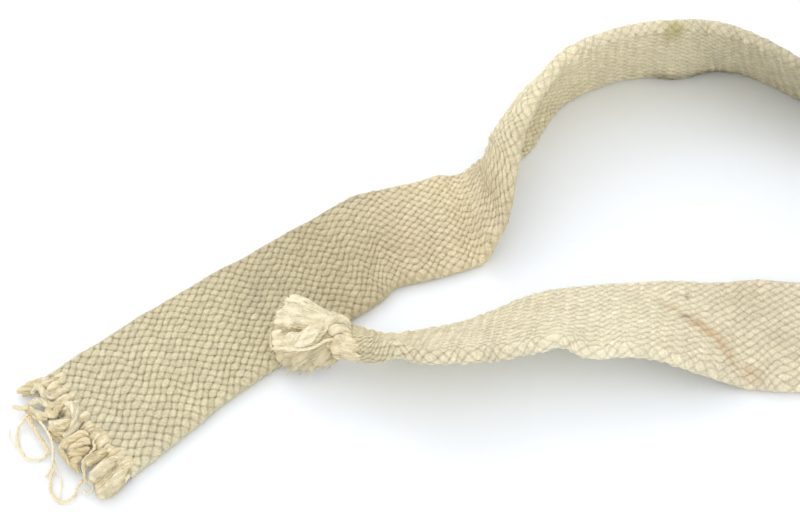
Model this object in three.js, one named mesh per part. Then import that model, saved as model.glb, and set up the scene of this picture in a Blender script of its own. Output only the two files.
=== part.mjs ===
// Martial arts belt: one long length of flattened tubular cotton braid, laid down
// loosely.  The first end, at -x, lies flat and is cut square, with curling, fraying
// yarns; the belt then turns up on its edge through a crook and an arc, runs into a
// loose on-edge roll at +x, comes back out flat, lifts its -y edge and narrows to a
// gathered second end with a rolled collar that opens into a tassel lying over the
// first run.  Millimetres, +Z up, resting on z = 0.
import * as THREE from 'three';

const { Vector3, MathUtils: { degToRad } } = THREE;

// ---- driving dimensions -------------------------------------------------
const ORIGIN = [94.2, 4.4];     // plan point that becomes x = 0, y = 0 in the meshes
const JOINT_GAP = 1.0;          // half gap left at a bend between two lengths of web
const SEAM_GAP = 0.2;           // half gap between two lengths that do not bend
const WAVE_GAP = 2.4;           // half gap at either end of the wave
const CORE_END_GAP = 0.9;       // gap at the strand B end of the roll's core
const COIL_CENTRE = [245, 5];   // centre of the rolled-up middle of the belt
const COIL_INNER = 12;          // radius at which the roll begins
const COIL_PITCH = 9.6;         // radial growth per turn of the pair of strands
const COIL_TURNS = 4;           // full turns of strand B
const COIL_EXIT_A = 75;         // degrees past the last full turn where strand A joins
const COIL_STEP = 15;           // degrees between stations of the roll
const COIL_THICK = 3.8;         // braid thickness inside the roll, where it is pressed
const WEB_WIDTH = 40;           // braid width, laid flat
const GROUNDED_THICK = 4.3;     // web up to this thick is always set down on z = 0
const YARN_R = 0.85;            // radius of a loose braiding yarn at the cut end
const THREAD_R = 0.45;          // radius of a single pulled thread

// Positions across the web, from -1 (left edge) to 1 (right edge)
const COARSE = [-1, -0.9, 0, 0.9, 1];
const FINE = [-1, -0.9, -0.45, 0, 0.45, 0.9, 1];

// Stations along the web: left edge xyz, right edge xyz, crosswise curl in degrees,
// thickness.  All plan positions in this script are given before ORIGIN is subtracted.
// Lead A runs from the cut end to the roll.
const LEAD_A = [
  [-102.3, -47.1, 2.0, -71.5, -77.2, 2.0, 0, 4.0],
  [-95.8, -40.5, 2.0, -65.4, -71.0, 2.0, 0, 4.0],
  [-88.5, -34.0, 2.0, -59.2, -64.3, 2.0, 0, 4.0],
  [-77.7, -24.2, 2.0, -49.8, -54.7, 2.0, 0, 4.0],
  [-66.2, -14.7, 2.0, -40.1, -45.8, 2.0, 0, 4.0],
  [-54.8, -5.6, 2.0, -29.5, -36.9, 2.0, 0, 4.0],
  [-43.0, 3.6, 2.0, -18.4, -27.8, 2.0, 0, 4.0],
  [-31.0, 12.9, 2.0, -6.6, -18.7, 2.0, 0, 4.0],
  [-15.9, 24.7, 2.0, -0.6, -12.2, 2.0, 0, 4.0],
  [-5.1, 28.2, 2.0, 8.8, -9.3, 2.0, 0, 4.0],
  [5.6, 31.5, 2.0, 17.2, -6.8, 2.0, 0, 4.0],
  [15.0, 35.1, 2.0, 24.9, -3.6, 2.0, 0, 4.0],
  [22.3, 37.1, 2.0, 29.5, -1.0, 10.8, 20, 4.0],
  [28.6, 42.4, 2.0, 33.4, 5.9, 14.1, 50, 4.0],
  [35.3, 45.3, 2.0, 35.7, 14.4, 19.6, 95, 4.0],
  [41.8, 45.8, 2.0, 37.4, 22.9, 24.7, 125, 4.0],
  [46.8, 51.7, 2.0, 39.8, 32.2, 27.0, 125, 4.0],
  [51.1, 60.9, 2.0, 43.1, 41.2, 29.9, 100, 4.0],
  [55.4, 69.3, 2.0, 47.3, 48.9, 32.9, 65, 4.0],
  [60.7, 75.7, 2.0, 53.0, 57.2, 35.9, 35, 4.0],
  [68.7, 81.8, 2.0, 61.7, 64.1, 37.0, 20, 4.0],
  [78.5, 86.8, 2.0, 71.3, 69.2, 37.1, 12, 4.0],
  [91.1, 89.6, 2.0, 82.7, 72.8, 37.3, 8, 4.0],
  [104.0, 89.6, 2.0, 93.9, 74.2, 37.5, 0, 4.0],
  [117.8, 93.7, 2.0, 105.4, 76.1, 35.6, -16, 4.0],
  [130.5, 90.8, 2.0, 115.5, 72.8, 34.4, -6, 4.0],
  [143.9, 80.1, 2.0, 125.7, 64.0, 33.8, 0, 4.0],
  [153.3, 70.3, 2.0, 134.0, 55.1, 33.6, 0, 4.0],
  [161.3, 66.2, 1.1, 150.7, 47.8, 35.0, 0, 4.0],
  [171.8, 60.4, 0.8, 168.2, 44.6, 37.4, 0, 4.0],
  [186.8, 56.7, 0.5, 187.2, 46.3, 39.2, 0, 4.0],
  [205.7, 55.9, 0.2, 206.3, 51.1, 39.9, 0, 4.0],
  [225.9, 57.3, 0.1, 226.1, 55.9, 40.0, 0, 4.0],
  [242.0, 57.4, 0.0, 242.0, 57.4, 40.0, 0, 4.0],
];
// Lead B runs from the roll to the gathered end.
const LEAD_B = [
  [191.9, -8.8, 0.2, 188.1, -7.2, 40.0, 0, 4.0],
  [188.8, -21.8, 0.6, 179.2, -14.2, 38.7, 0, 4.0],
  [181.5, -36.0, 1.2, 168.5, -16.4, 33.5, 0, 4.0],
  [168.3, -47.4, 1.7, 159.7, -14.6, 22.9, 0, 4.0],
  [152.6, -52.0, 2.0, 151.4, -12.8, 10.3, 0, 4.0],
  [139.6, -52.3, 2.0, 140.4, -12.3, 2.0, 0, 4.0],
  [113.3, -50.2, 2.0, 123.0, -11.4, 2.0, 0, 4.0],
  [99.3, -49.5, 2.0, 107.8, -10.4, 2.0, 0, 4.0],
  [84.9, -48.9, 9.7, 94.7, -11.3, 2.0, 0, 4.0],
  [73.0, -47.1, 14.2, 82.5, -10.9, 2.0, 0, 4.0],
  [61.9, -46.7, 16.7, 71.3, -11.3, 2.0, 6, 4.0],
  [52.5, -48.2, 17.5, 61.7, -12.1, 2.0, 10, 4.0],
  [44.0, -46.2, 20.8, 53.0, -13.3, 2.0, 14, 4.0],
  [35.4, -47.3, 19.6, 44.3, -14.8, 2.0, 6, 4.0],
  [27.0, -49.6, 20.5, 35.1, -18.7, 2.0, 0, 4.0],
  [18.7, -52.0, 23.0, 25.8, -23.6, 2.0, 0, 4.0],
  [10.6, -53.4, 24.6, 16.4, -27.3, 2.0, 0, 4.0],
  [4.0, -52.5, 24.2, 8.3, -28.8, 2.0, 10, 4.0],
  [-1.1, -48.4, 20.9, 1.5, -31.4, 2.0, 24, 4.6],
  [-5.9, -47.8, 17.3, -4.9, -34.2, 3.6, 0, 6.0],
  [-9.9, -46.2, 15.8, -9.9, -35.4, 5.6, 0, 7.4],
  [-14.0, -44.6, 14.2, -14.8, -34.0, 7.4, 0, 8.2],
];
// The S in which the belt doubles back through the roll: x, y from COIL_CENTRE
const CORE = [
  [10.6, -5.2], [6.2, -7.6], [2.2, -4.6], [0, 0], [-2.2, 4.6], [-6.2, 7.6], [-10.6, 5.2],
];

// ---- stations of the whole belt -----------------------------------------
// A station of web standing on edge in the roll, at an offset from its centre
function rollStation(offsetX, offsetY) {
  const x = COIL_CENTRE[0] + offsetX;
  const y = COIL_CENTRE[1] + offsetY;
  return [x, y, 0, x, y, WEB_WIDTH, 0, COIL_THICK];
}
// A station on a strand's spiral; strand B starts half a turn on from strand A
function coilStation(turned, startAngle) {
  const angle = degToRad(turned + startAngle);
  const radius = COIL_INNER + COIL_PITCH * turned / 360;
  return rollStation(radius * Math.cos(angle), radius * Math.sin(angle));
}
const coilA = [];
for (let turned = 360 * COIL_TURNS + COIL_EXIT_A; turned >= 0; turned -= COIL_STEP) {
  coilA.push(coilStation(turned, 0));
}
const coilB = [];
for (let turned = 0; turned <= 360 * COIL_TURNS; turned += COIL_STEP) {
  coilB.push(coilStation(turned, 180));
}
const core = CORE.map(([x, y]) => rollStation(x, y));
// facing: where the web lies flat, positive curl arches it up (1) or down (-1)
const STRAND_A = { stations: [...LEAD_A, ...coilA, ...core, coilB[0]], facing: 1 };
const STRAND_B = { stations: [...coilB, ...LEAD_B], facing: -1 };

// ---- sampling a strand --------------------------------------------------
const TANGENT_STEP = 0.02;      // station offset either side for a direction
const SPEED_STEP = 0.01;        // station offset either side for a speed
const SPEED_INSET = 0.05;       // how far inside a length its end speeds are taken
const MIN_CURL = 1e-3;          // half curl, in radians, below which web is flat

// Catmull-Rom station at fractional index t
function stationAt(stations, t) {
  const i = Math.min(stations.length - 2, Math.max(0, Math.floor(t)));
  const f = t - i;
  const start = stations[i];
  const end = stations[i + 1];
  const before = stations[i - 1] ?? start.map((v, k) => 2 * v - end[k]);
  const after = stations[i + 2] ?? end.map((v, k) => 2 * v - start[k]);
  return start.map((v, k) => 0.5 * (2 * v + (end[k] - before[k]) * f
    + (2 * before[k] - 5 * v + 4 * end[k] - after[k]) * f * f
    + (3 * v - before[k] - 3 * end[k] + after[k]) * f * f * f));
}
function edges(station) {
  return [new Vector3(...station.slice(0, 3)), new Vector3(...station.slice(3, 6))];
}
function centreAt(stations, t) {
  const [left, right] = edges(stationAt(stations, t));
  return left.add(right).multiplyScalar(0.5);
}
// millimetres of centre line per station
function speedAt(stations, t) {
  const ahead = centreAt(stations, t + SPEED_STEP);
  return ahead.distanceTo(centreAt(stations, t - SPEED_STEP)) / (2 * SPEED_STEP);
}

// Ring of points round the web's cross-section at t
function webRing({ stations, facing }, t, across) {
  const station = stationAt(stations, t);
  const [left, right] = edges(station);
  const [curl, thick] = station.slice(6);
  const chord = right.clone().sub(left);
  const width = chord.length();
  chord.normalize();
  const tangent = centreAt(stations, t + TANGENT_STEP)
    .sub(centreAt(stations, t - TANGENT_STEP)).normalize();
  const face = chord.clone().cross(tangent).multiplyScalar(facing).normalize();
  const centre = left.add(right).multiplyScalar(0.5);
  const halfCurl = degToRad(curl) / 2;
  const curled = Math.abs(halfCurl) >= MIN_CURL;
  const arc = curled ? width * halfCurl / Math.sin(halfCurl) : width;
  const top = [];
  const bottom = [];
  for (const u of across) {
    let sideways = u * width / 2;
    let rise = 0;
    let angle = 0;
    if (curled) {
      const radius = width / 2 / Math.sin(halfCurl);
      angle = u * halfCurl;
      sideways = radius * Math.sin(angle);
      rise = radius * (Math.cos(angle) - Math.cos(halfCurl));
    }
    const normal = face.clone().multiplyScalar(Math.cos(angle))
      .addScaledVector(chord, Math.sin(angle));
    // the edges are rounded; each comes down to a single point
    const edge = Math.abs(u) * arc / 2 - (arc / 2 - thick / 2);
    const half = edge <= 0
      ? thick / 2
      : Math.sqrt(Math.max(0, (thick / 2) ** 2 - edge ** 2));
    const middle = centre.clone().addScaledVector(chord, sideways).addScaledVector(face, rise);
    if (half < 1e-6) {
      top.push(middle);
    } else {
      top.push(middle.clone().addScaledVector(normal, half));
      bottom.unshift(middle.clone().addScaledVector(normal, -half));
    }
  }
  const ring = [...top, ...bottom];
  // the web rests on the ground; only the thick gathered neck may stay above it
  const lowest = Math.min(...ring.map((point) => point.z));
  if (thick <= GROUNDED_THICK || lowest < 0) {
    for (const point of ring) point.z -= lowest;
  }
  return ring;
}

// ---- building meshes ----------------------------------------------------
const WEB = { color: 0xd6cbab, roughness: 0.95, metalness: 0 };
const YARN = { color: 0xe0d5b2, roughness: 0.95, metalness: 0 };
const FIBRE = { color: 0xe8debb, roughness: 0.97, metalness: 0 };
const belt = new THREE.Group();

function add(name, geometry, look) {
  const mesh = new THREE.Mesh(geometry, new THREE.MeshStandardMaterial(look));
  mesh.name = name;
  belt.add(mesh);
}

// Six times the volume enclosed, negative when the triangles face inwards
function signedVolume(positions, indices) {
  const corner = (i) => new Vector3().fromArray(positions, indices[i] * 3);
  let volume = 0;
  for (let i = 0; i < indices.length; i += 3) {
    volume += corner(i).dot(corner(i + 1).cross(corner(i + 2)));
  }
  return volume;
}

// Closed skin through a row of rings, each end capped by a fan
function loft(rings) {
  const count = rings[0].length;
  const positions = [];
  const indices = [];
  const addPoint = ({ x, y, z }) => positions.push(x - ORIGIN[0], y - ORIGIN[1], z);
  rings.flat().forEach(addPoint);
  for (let i = 0; i + 1 < rings.length; i++) {
    for (let j = 0; j < count; j++) {
      const a = i * count + j;
      const b = i * count + (j + 1) % count;
      indices.push(a, b, b + count, a, b + count, a + count);
    }
  }
  for (const last of [false, true]) {
    const i = last ? rings.length - 1 : 0;
    const middle = new Vector3();
    for (const point of rings[i]) middle.add(point);
    addPoint(middle.divideScalar(count));
    const hub = positions.length / 3 - 1;
    for (let j = 0; j < count; j++) {
      const a = i * count + j;
      const b = i * count + (j + 1) % count;
      indices.push(...(last ? [a, b] : [b, a]), hub);
    }
  }
  if (signedVolume(positions, indices) < 0) {
    for (let i = 0; i < indices.length; i += 3) {
      [indices[i], indices[i + 1]] = [indices[i + 1], indices[i]];
    }
  }
  const geometry = new THREE.BufferGeometry();
  geometry.setAttribute('position', new THREE.Float32BufferAttribute(positions, 3));
  geometry.setIndex(indices);
  geometry.computeVertexNormals();
  return geometry;
}

// Lays lengths of web end to end from station 0.  Each length: name, last station,
// gap at its start, gap at its end, positions across, longest step in millimetres.
function layWebs(strand, lengths) {
  const { stations } = strand;
  let first = 0;
  for (const [name, last, startGap, endGap, across, step] of lengths) {
    const from = first + startGap / speedAt(stations, first + SPEED_INSET);
    const to = last - endGap / speedAt(stations, last - SPEED_INSET);
    const samples = [from];
    for (let i = Math.floor(from); i < to; i++) {
      const start = Math.max(from, i);
      const end = Math.min(to, i + 1);
      if (end - start < 1e-6) continue;
      const span = centreAt(stations, start).distanceTo(centreAt(stations, end));
      const steps = Math.max(1, Math.ceil(span / step));
      for (let k = 1; k <= steps; k++) samples.push(start + (end - start) * k / steps);
    }
    add(name, loft(samples.map((t) => webRing(strand, t, across))), WEB);
    first = last;
  }
}

// A yarn, tuft or thread of elliptical section along a smooth path; wide and high
// are its radii, taper scales them along its length
function yarn(name, path, { wide, high = wide, look = YARN, segments, sides, taper = () => 1 }) {
  const points = path.map((point) => new Vector3(...point));
  const curve = new THREE.CatmullRomCurve3(points, false, 'centripetal');
  const rings = [];
  for (let i = 0; i <= segments; i++) {
    const f = i / segments;
    const centre = curve.getPoint(f);
    const tangent = curve.getTangent(f);
    const side = new Vector3(0, 0, 1).cross(tangent).normalize();
    const up = tangent.clone().cross(side);
    const scale = taper(f);
    const ring = [];
    for (let j = 0; j < sides; j++) {
      const angle = (j + 0.5) / sides * 2 * Math.PI;
      ring.push(centre.clone()
        .addScaledVector(side, Math.cos(angle) * wide * scale)
        .addScaledVector(up, Math.sin(angle) * high * scale));
    }
    rings.push(ring);
  }
  add(name, loft(rings), look);
}
function thread(name, segments, path) {
  yarn(name, path, { wide: THREAD_R, look: FIBRE, segments, sides: 5 });
}
// Taper that starts and ends at given scales and is full size between
const roundedEnds = ({ start, startSlope, end, endSlope }) => (f) => (
  Math.min(1, start + startSlope * f, end + endSlope * (1 - f)));

// ---- the braided web ----------------------------------------------------
const rollA = LEAD_A.length - 1;            // last station before strand A's coil
const coreStart = rollA + coilA.length;
const coreEnd = STRAND_A.stations.length - 1;
layWebs(STRAND_A, [
  ['end_a_tip_web', 2, 0, JOINT_GAP, FINE, 8],
  ['end_a_web', 4, JOINT_GAP, JOINT_GAP, FINE, 8],
  ['flat_run_web', 12, JOINT_GAP, SEAM_GAP, FINE, 8],
  ['crook_web', 19, SEAM_GAP, SEAM_GAP, FINE, 4],
  ['arc_web', 26, SEAM_GAP, SEAM_GAP, FINE, 6],
  ['lead_a_web', rollA, SEAM_GAP, JOINT_GAP, FINE, 7],
  ['roll_strand_a', coreStart, 0, SEAM_GAP, COARSE, 14],
  ['roll_core', coreEnd, SEAM_GAP, CORE_END_GAP, COARSE, 2.5],
]);
const exitB = coilB.length - 1;             // last station of strand B's coil
layWebs(STRAND_B, [
  ['roll_strand_b', exitB, SEAM_GAP, 0, COARSE, 14],
  ['lead_b_web', exitB + 6, JOINT_GAP, SEAM_GAP, FINE, 6],
  ['flat_strip_web', exitB + 8, SEAM_GAP, JOINT_GAP, FINE, 8],
  ['strip_web', exitB + 12, JOINT_GAP, WAVE_GAP, FINE, 8],
  ['wave_web', exitB + 18, WAVE_GAP, WAVE_GAP, FINE, 6],
  ['neck_web', exitB + LEAD_B.length, WAVE_GAP, SEAM_GAP, FINE, 4],
]);

// ---- cut end: curled yarn loops, cut tufts and pulled threads -----------
const LOOP_REACH = [4.4, 4.2, 4.8, 5.0, 5.6, 6.6];   // outwards from the cut
const TUFT_REACH = [9.6, 11.4, 9.4];
const LOOP_FOOT = 1.25;                     // half spread of a loop at the cut
const LOOP_BELLY = 1.4;                     // half spread of a loop part way out
const [leftX, leftY, , rightX, rightY] = LEAD_A[0];
const cutLength = Math.hypot(rightX - leftX, rightY - leftY);
const alongX = (rightX - leftX) / cutLength;
const alongY = (rightY - leftY) / cutLength;
const fringePitch = cutLength / (LOOP_REACH.length + TUFT_REACH.length);

// Point a distance along the cut from its left corner, and a distance out from it
const cutPoint = (along, out, z) => [
  leftX + alongX * along + alongY * out, leftY + alongY * along - alongX * out, z];

LOOP_REACH.forEach((reach, i) => {
  const v = (i + 0.5) * fringePitch;
  yarn(`end_a_yarn_loop_${i + 1}`, [
    cutPoint(v - LOOP_FOOT, 0.5, 1.6), cutPoint(v - LOOP_BELLY, reach * 0.55, 1.9),
    cutPoint(v, reach, 2.1),
    cutPoint(v + LOOP_BELLY, reach * 0.55, 1.9), cutPoint(v + LOOP_FOOT, 0.5, 1.6),
  ], { wide: YARN_R, segments: 12, sides: 6 });
});
const bluntTaper = roundedEnds({ start: 0.6, startSlope: 4, end: 0.45, endSlope: 4 });
TUFT_REACH.forEach((reach, i) => {
  const v = (LOOP_REACH.length + i + 0.5) * fringePitch;
  yarn(`end_a_cut_tuft_${i + 1}`,
    [cutPoint(v, 0.5, 2), cutPoint(v - 0.3, reach * 0.5, 2.1), cutPoint(v - 0.5, reach, 2)],
    { wide: 2.05, high: 1.8, segments: 6, sides: 8, taper: bluntTaper });
});
yarn('end_a_short_strand', [[-104.2, -55.8, 4.4], [-106.2, -55.9, 4.6], [-108.3, -55.1, 4.2]],
  { wide: 0.8, high: 0.7, segments: 5, sides: 6 });
yarn('end_a_side_strand', [[-105.0, -45.6, 1.6], [-106.6, -47.0, 1.8], [-108.2, -49.8, 1.6]],
  { wide: 0.8, segments: 6, sides: 6 });
thread('loose_thread_1', 14, [
  [-105.2, -58.8, 0.7], [-106.2, -64.5, 0.6], [-102.3, -71.4, 0.6], [-98.2, -72.6, 0.6]]);
thread('loose_thread_2', 14, [
  [-103.7, -59.6, 1.8], [-99.0, -65.9, 2.4], [-94.6, -71.4, 2.3], [-92.6, -75.6, 2.2],
  [-94.6, -77.6, 2.0]]);
thread('loose_thread_3', 8, [[-99.4, -62.4, 0.8], [-96.6, -66.0, 0.7], [-94.6, -69.6, 0.7]]);
thread('loose_thread_loop', 16, [
  [-93.6, -74.9, 0.6], [-93.0, -80.8, 0.6], [-90.0, -85.0, 0.6], [-86.2, -82.6, 0.6],
  [-85.0, -79.4, 0.7]]);

// ---- gathered end: collar, tassel and its threads -----------------------
const TASSEL_ROOT_X = -20.8;
const TASSEL_BEND_X = -25.5;
const tasselTaper = roundedEnds({ start: 0.75, startSlope: 1.2, end: 0.5, endSlope: 3.2 });

// One layer of tufts.  tufts: root y, tip x, tip y; heights: z at root, bend and tip;
// bend: share of the sideways spread reached at the bend.
function tasselLayer(layer, { tufts, heights: [rootZ, bendZ, tipZ], bend, wide }) {
  tufts.forEach(([rootY, tipX, tipY], i) => yarn(`tassel_${layer}_tuft_${i + 1}`, [
    [TASSEL_ROOT_X, rootY, rootZ],
    [TASSEL_BEND_X, rootY + (tipY - rootY) * bend, bendZ],
    [tipX, tipY, tipZ],
  ], { wide, high: 1.9, look: FIBRE, segments: 7, sides: 8, taper: tasselTaper }));
}

yarn('end_b_collar', [[-16.5, -39.0, 11.3], [-17.7, -38.8, 11.5], [-19.2, -38.5, 11.5]], {
  wide: 6.4, high: 5.0, segments: 6, sides: 14, taper: (f) => 0.9 + 0.1 * Math.sin(Math.PI * f),
});
tasselLayer('lower', {
  tufts: [
    [-32.4, -32.6, -23.6], [-36.7, -37.2, -31.0], [-41.0, -37.2, -39.2], [-45.2, -31.4, -46.6],
  ],
  heights: [7.0, 6.9, 6.7], bend: 0.28, wide: 1.85,
});
tasselLayer('upper', {
  tufts: [[-33.6, -30.2, -26.4], [-38.0, -34.0, -34.4], [-42.4, -32.0, -42.2]],
  heights: [11.4, 11.5, 10.9], bend: 0.3, wide: 1.9,
});
thread('tassel_binding_thread', 14, [
  [-37.6, -36.6, 12.6], [-33.0, -39.6, 14.0], [-27.0, -40.2, 14.0], [-22.0, -37.0, 14.0],
  [-20.8, -33.4, 13.9]]);
thread('tassel_thread_loop', 12, [
  [-37.4, -27.2, 5.4], [-39.6, -30.4, 5.4], [-40.4, -35.0, 5.4], [-39.8, -39.6, 5.4],
  [-37.4, -42.6, 5.4]]);

export default belt;
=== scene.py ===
# A braided cotton martial arts belt lying on the ground, +Z up.  Its middle is rolled up on edge
# at +X.  Strand A runs from the roll along the +Y side, through a crook, to a cut and frayed
# end at -X.  Strand B runs along the -Y side to a gathered neck and a tassel.
# Sizes are millimetres in a plan frame; row_frame() turns them into metres in the row frame.
import math

import bpy
import numpy as np
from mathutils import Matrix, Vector


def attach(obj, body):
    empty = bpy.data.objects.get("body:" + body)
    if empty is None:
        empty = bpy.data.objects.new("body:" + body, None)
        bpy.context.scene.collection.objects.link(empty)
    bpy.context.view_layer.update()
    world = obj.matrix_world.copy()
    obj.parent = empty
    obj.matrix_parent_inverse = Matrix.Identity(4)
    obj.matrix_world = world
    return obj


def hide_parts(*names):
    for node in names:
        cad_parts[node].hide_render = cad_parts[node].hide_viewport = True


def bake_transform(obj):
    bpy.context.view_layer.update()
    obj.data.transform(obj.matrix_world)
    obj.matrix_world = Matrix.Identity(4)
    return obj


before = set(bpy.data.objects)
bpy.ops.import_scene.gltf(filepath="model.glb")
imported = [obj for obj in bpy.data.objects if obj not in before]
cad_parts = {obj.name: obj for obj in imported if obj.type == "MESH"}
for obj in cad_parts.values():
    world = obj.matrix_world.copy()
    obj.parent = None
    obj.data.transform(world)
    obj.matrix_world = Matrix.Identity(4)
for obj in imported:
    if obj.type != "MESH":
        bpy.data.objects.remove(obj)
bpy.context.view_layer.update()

ORIGIN = np.array([94.2, 4.4, 0.0])     # origin of the row frame, in the plan frame
TAU = math.tau
CELLS = 28                              # braid cells round the tube
FINE = 0.30          # ring spacing where the braid shows best
AROUND = np.arange(CELLS * (10)) / (CELLS * 10)
# Inner turns show only their top edges: places round the tube are dense there, sparse on faces.
INNER_AROUND = np.unique(np.concatenate([
    np.linspace(0, 0.445, 14), np.linspace(0.445, 0.575, 30),
    np.linspace(0.575, 0.92, 14), np.linspace(0.92, 1, 16, endpoint=False)]))


def row_frame(p):
    return (np.asarray(p, float) - ORIGIN) * 0.001


def srgb(*rgb):
    c = np.array(rgb) / 255.0
    return np.where(c <= 0.04045, c / 12.92, ((c + 0.055) / 1.055) ** 2.4)


def unit(v):
    return v / np.maximum(np.linalg.norm(v, axis=-1, keepdims=True), 1e-12)


def run_lengths(points):
    """Length along a polyline at each of its points."""
    return np.concatenate([[0], np.cumsum(np.linalg.norm(np.diff(points, axis=0), axis=1))])


# ---- stations of the web --------------------------------------------------
WEB_THICK = 4.0
# First edge x, y, z, second edge x, y, z, curl in degrees; from the cut end to the roll.
STATIONS_A = [
    [-102.3, -47.1, 2, -71.5, -77.2, 2, 0], [-95.8, -40.5, 2, -65.4, -71.0, 2, 0],
    [-88.5, -34.0, 2, -59.2, -64.3, 2, 0], [-77.7, -24.2, 2, -49.8, -54.7, 2, 0],
    [-66.2, -14.7, 2, -40.1, -45.8, 2, 0], [-54.8, -5.6, 2, -29.5, -36.9, 2, 0],
    [-43.0, 3.6, 2, -18.4, -27.8, 2, 0], [-31.0, 12.9, 2, -6.6, -18.7, 2, 0],
    [-15.9, 24.7, 2, -0.6, -12.2, 2, 0], [-5.1, 28.2, 2, 8.8, -9.3, 2, 0],
    [5.6, 31.5, 2, 17.2, -6.8, 2, 0], [15.0, 35.1, 2, 24.9, -3.6, 2, 0],
    [22.3, 37.1, 2, 29.5, -1.0, 10.8, 20], [28.6, 42.4, 2, 33.4, 5.9, 14.1, 50],
    [35.3, 45.3, 2, 35.7, 14.4, 19.6, 95], [41.8, 45.8, 2, 37.4, 22.9, 24.7, 125],
    [46.8, 51.7, 2, 39.8, 32.2, 27.0, 125], [51.1, 60.9, 2, 43.1, 41.2, 29.9, 100],
    [55.4, 69.3, 2, 47.3, 48.9, 32.9, 65], [60.7, 75.7, 2, 53.0, 57.2, 35.9, 35],
    [68.7, 81.8, 2, 61.7, 64.1, 37.0, 20], [78.5, 86.8, 2, 71.3, 69.2, 37.1, 12],
    [91.1, 89.6, 2, 82.7, 72.8, 37.3, 8], [104.0, 89.6, 2, 93.9, 74.2, 37.5, 0],
    [117.8, 93.7, 2, 105.4, 76.1, 35.6, -16], [130.5, 90.8, 2, 115.5, 72.8, 34.4, -6],
    [143.9, 80.1, 2, 125.7, 64.0, 33.8, 0], [153.3, 70.3, 2, 134.0, 55.1, 33.6, 0],
    [161.3, 66.2, 1.1, 150.7, 47.8, 35.0, 0], [171.8, 60.4, 0.8, 168.2, 44.6, 37.4, 0],
    [186.8, 56.7, 0.5, 187.2, 46.3, 39.2, 0], [205.7, 55.9, 0.2, 206.3, 51.1, 39.9, 0],
    [225.9, 57.3, 0.1, 226.1, 55.9, 40.0, 0], [242.0, 57.4, 0.0, 242.0, 57.4, 40.0, 0],
]
# The same columns, then thickness; from the roll to the gathered end.
STATIONS_B = [
    [191.9, -8.8, 0.2, 188.1, -7.2, 40, 0, 4], [188.8, -21.8, 0.6, 179.2, -14.2, 38.7, 0, 4],
    [181.5, -36.0, 1.2, 168.5, -16.4, 33.5, 0, 4], [168.3, -47.4, 1.7, 159.7, -14.6, 22.9, 0, 4],
    [152.6, -52.0, 2, 151.4, -12.8, 10.3, 0, 4], [139.6, -52.3, 2, 140.4, -12.3, 2, 0, 4],
    [113.3, -50.2, 2, 123.0, -11.4, 2, 0, 4], [99.3, -49.5, 2, 107.8, -10.4, 2, 0, 4],
    [84.9, -48.9, 9.7, 94.7, -11.3, 2, 0, 4], [73.0, -47.1, 14.2, 82.5, -10.9, 2, 0, 4],
    [61.9, -46.7, 16.7, 71.3, -11.3, 2, 6, 4], [52.5, -48.2, 17.5, 61.7, -12.1, 2, 10, 4],
    [44.0, -46.2, 20.8, 53.0, -13.3, 2, 14, 4], [35.4, -47.3, 19.6, 44.3, -14.8, 2, 6, 4],
    [27.0, -49.6, 20.5, 35.1, -18.7, 2, 0, 4], [18.7, -52.0, 23.0, 25.8, -23.6, 2, 0, 4],
    [10.6, -53.4, 24.6, 16.4, -27.3, 2, 0, 4], [4.0, -52.5, 24.2, 8.3, -28.8, 2, 10, 4],
    [-1.1, -48.4, 20.9, 1.5, -31.4, 2, 24, 4.6], [-5.9, -47.8, 17.3, -4.9, -34.2, 3.6, 0, 6],
    [-9.9, -46.2, 15.8, -9.9, -35.4, 5.6, 0, 7.4], [-14.0, -44.6, 14.2, -14.8, -34.0, 7.4, 0, 8.2],
]
COIL_CENTRE = (245.0, 5.0)
COIL_INNER, COIL_PITCH, COIL_STEP = 12.0, 9.6, 15       # radius, mm per turn, degrees
COIL_HEIGHT, COIL_THICK = 40.0, 3.8
TURNS_A, TURNS_B = 4 * 360 + 75, 4 * 360                # degrees each strand winds
# Where the web crosses the middle of the roll, from the coil's centre.
CORE = [[-10.6 * -1, -5.2], [6.2, -7.6], [2.2, -4.6], [0, 0], [-2.2, 4.6], [-6.2, 7.6], [-10.6, 5.2]]


def upright(x, y):
    """A station of web standing on edge inside the roll."""
    return [x, y, 0, x, y, COIL_HEIGHT, 0, COIL_THICK]


def coil_station(degrees, half_turn=0):
    """A station on the spiral; strand B's spiral is half a turn (180) from strand A's."""
    angle = math.radians(degrees + half_turn)
    r = COIL_INNER + COIL_PITCH * degrees / 360
    return upright(COIL_CENTRE[0] + r * math.cos(angle), COIL_CENTRE[1] + r * math.sin(angle))


ALL_A = [s + [WEB_THICK] for s in STATIONS_A]
ALL_A += [coil_station(d) for d in range(TURNS_A, -1, -COIL_STEP)]
CORE_START = len(ALL_A) - 1
ALL_A += [upright(COIL_CENTRE[0] + x, COIL_CENTRE[1] + y) for x, y in CORE]
ALL_A.append(coil_station(0, 180))
CORE_END = len(ALL_A) - 1
ALL_B = [coil_station(d, 180) for d in range(0, TURNS_B + 1, COIL_STEP)]
EXIT_B = len(ALL_B) - 1                 # station where strand B leaves the roll
ALL_B += STATIONS_B


def rows_at(stations, t):
    """Stations read at fractional places t, by a Catmull-Rom curve."""
    t = np.asarray(t, float)
    n = len(stations)
    i = np.clip(np.floor(t).astype(int), 0, n - 2)
    f = (t - i)[:, None]
    p1, p2 = stations[i], stations[i + 1]
    p0 = np.where((i > 0)[:, None], stations[np.maximum(i - 1, 0)], 2 * p1 - p2)
    p3 = np.where((i + 2 < n)[:, None], stations[np.minimum(i + 2, n - 1)], 2 * p2 - p1)
    return 0.5 * (2 * p1 + (p2 - p0) * f + (2 * p0 - 5 * p1 + 4 * p2 - p3) * f * f
                  + (3 * p1 - p0 - 3 * p2 + p3) * f ** 3)


def centres(stations, t):
    row = rows_at(stations, t)
    return (row[:, :3] + row[:, 3:6]) / 2


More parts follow.
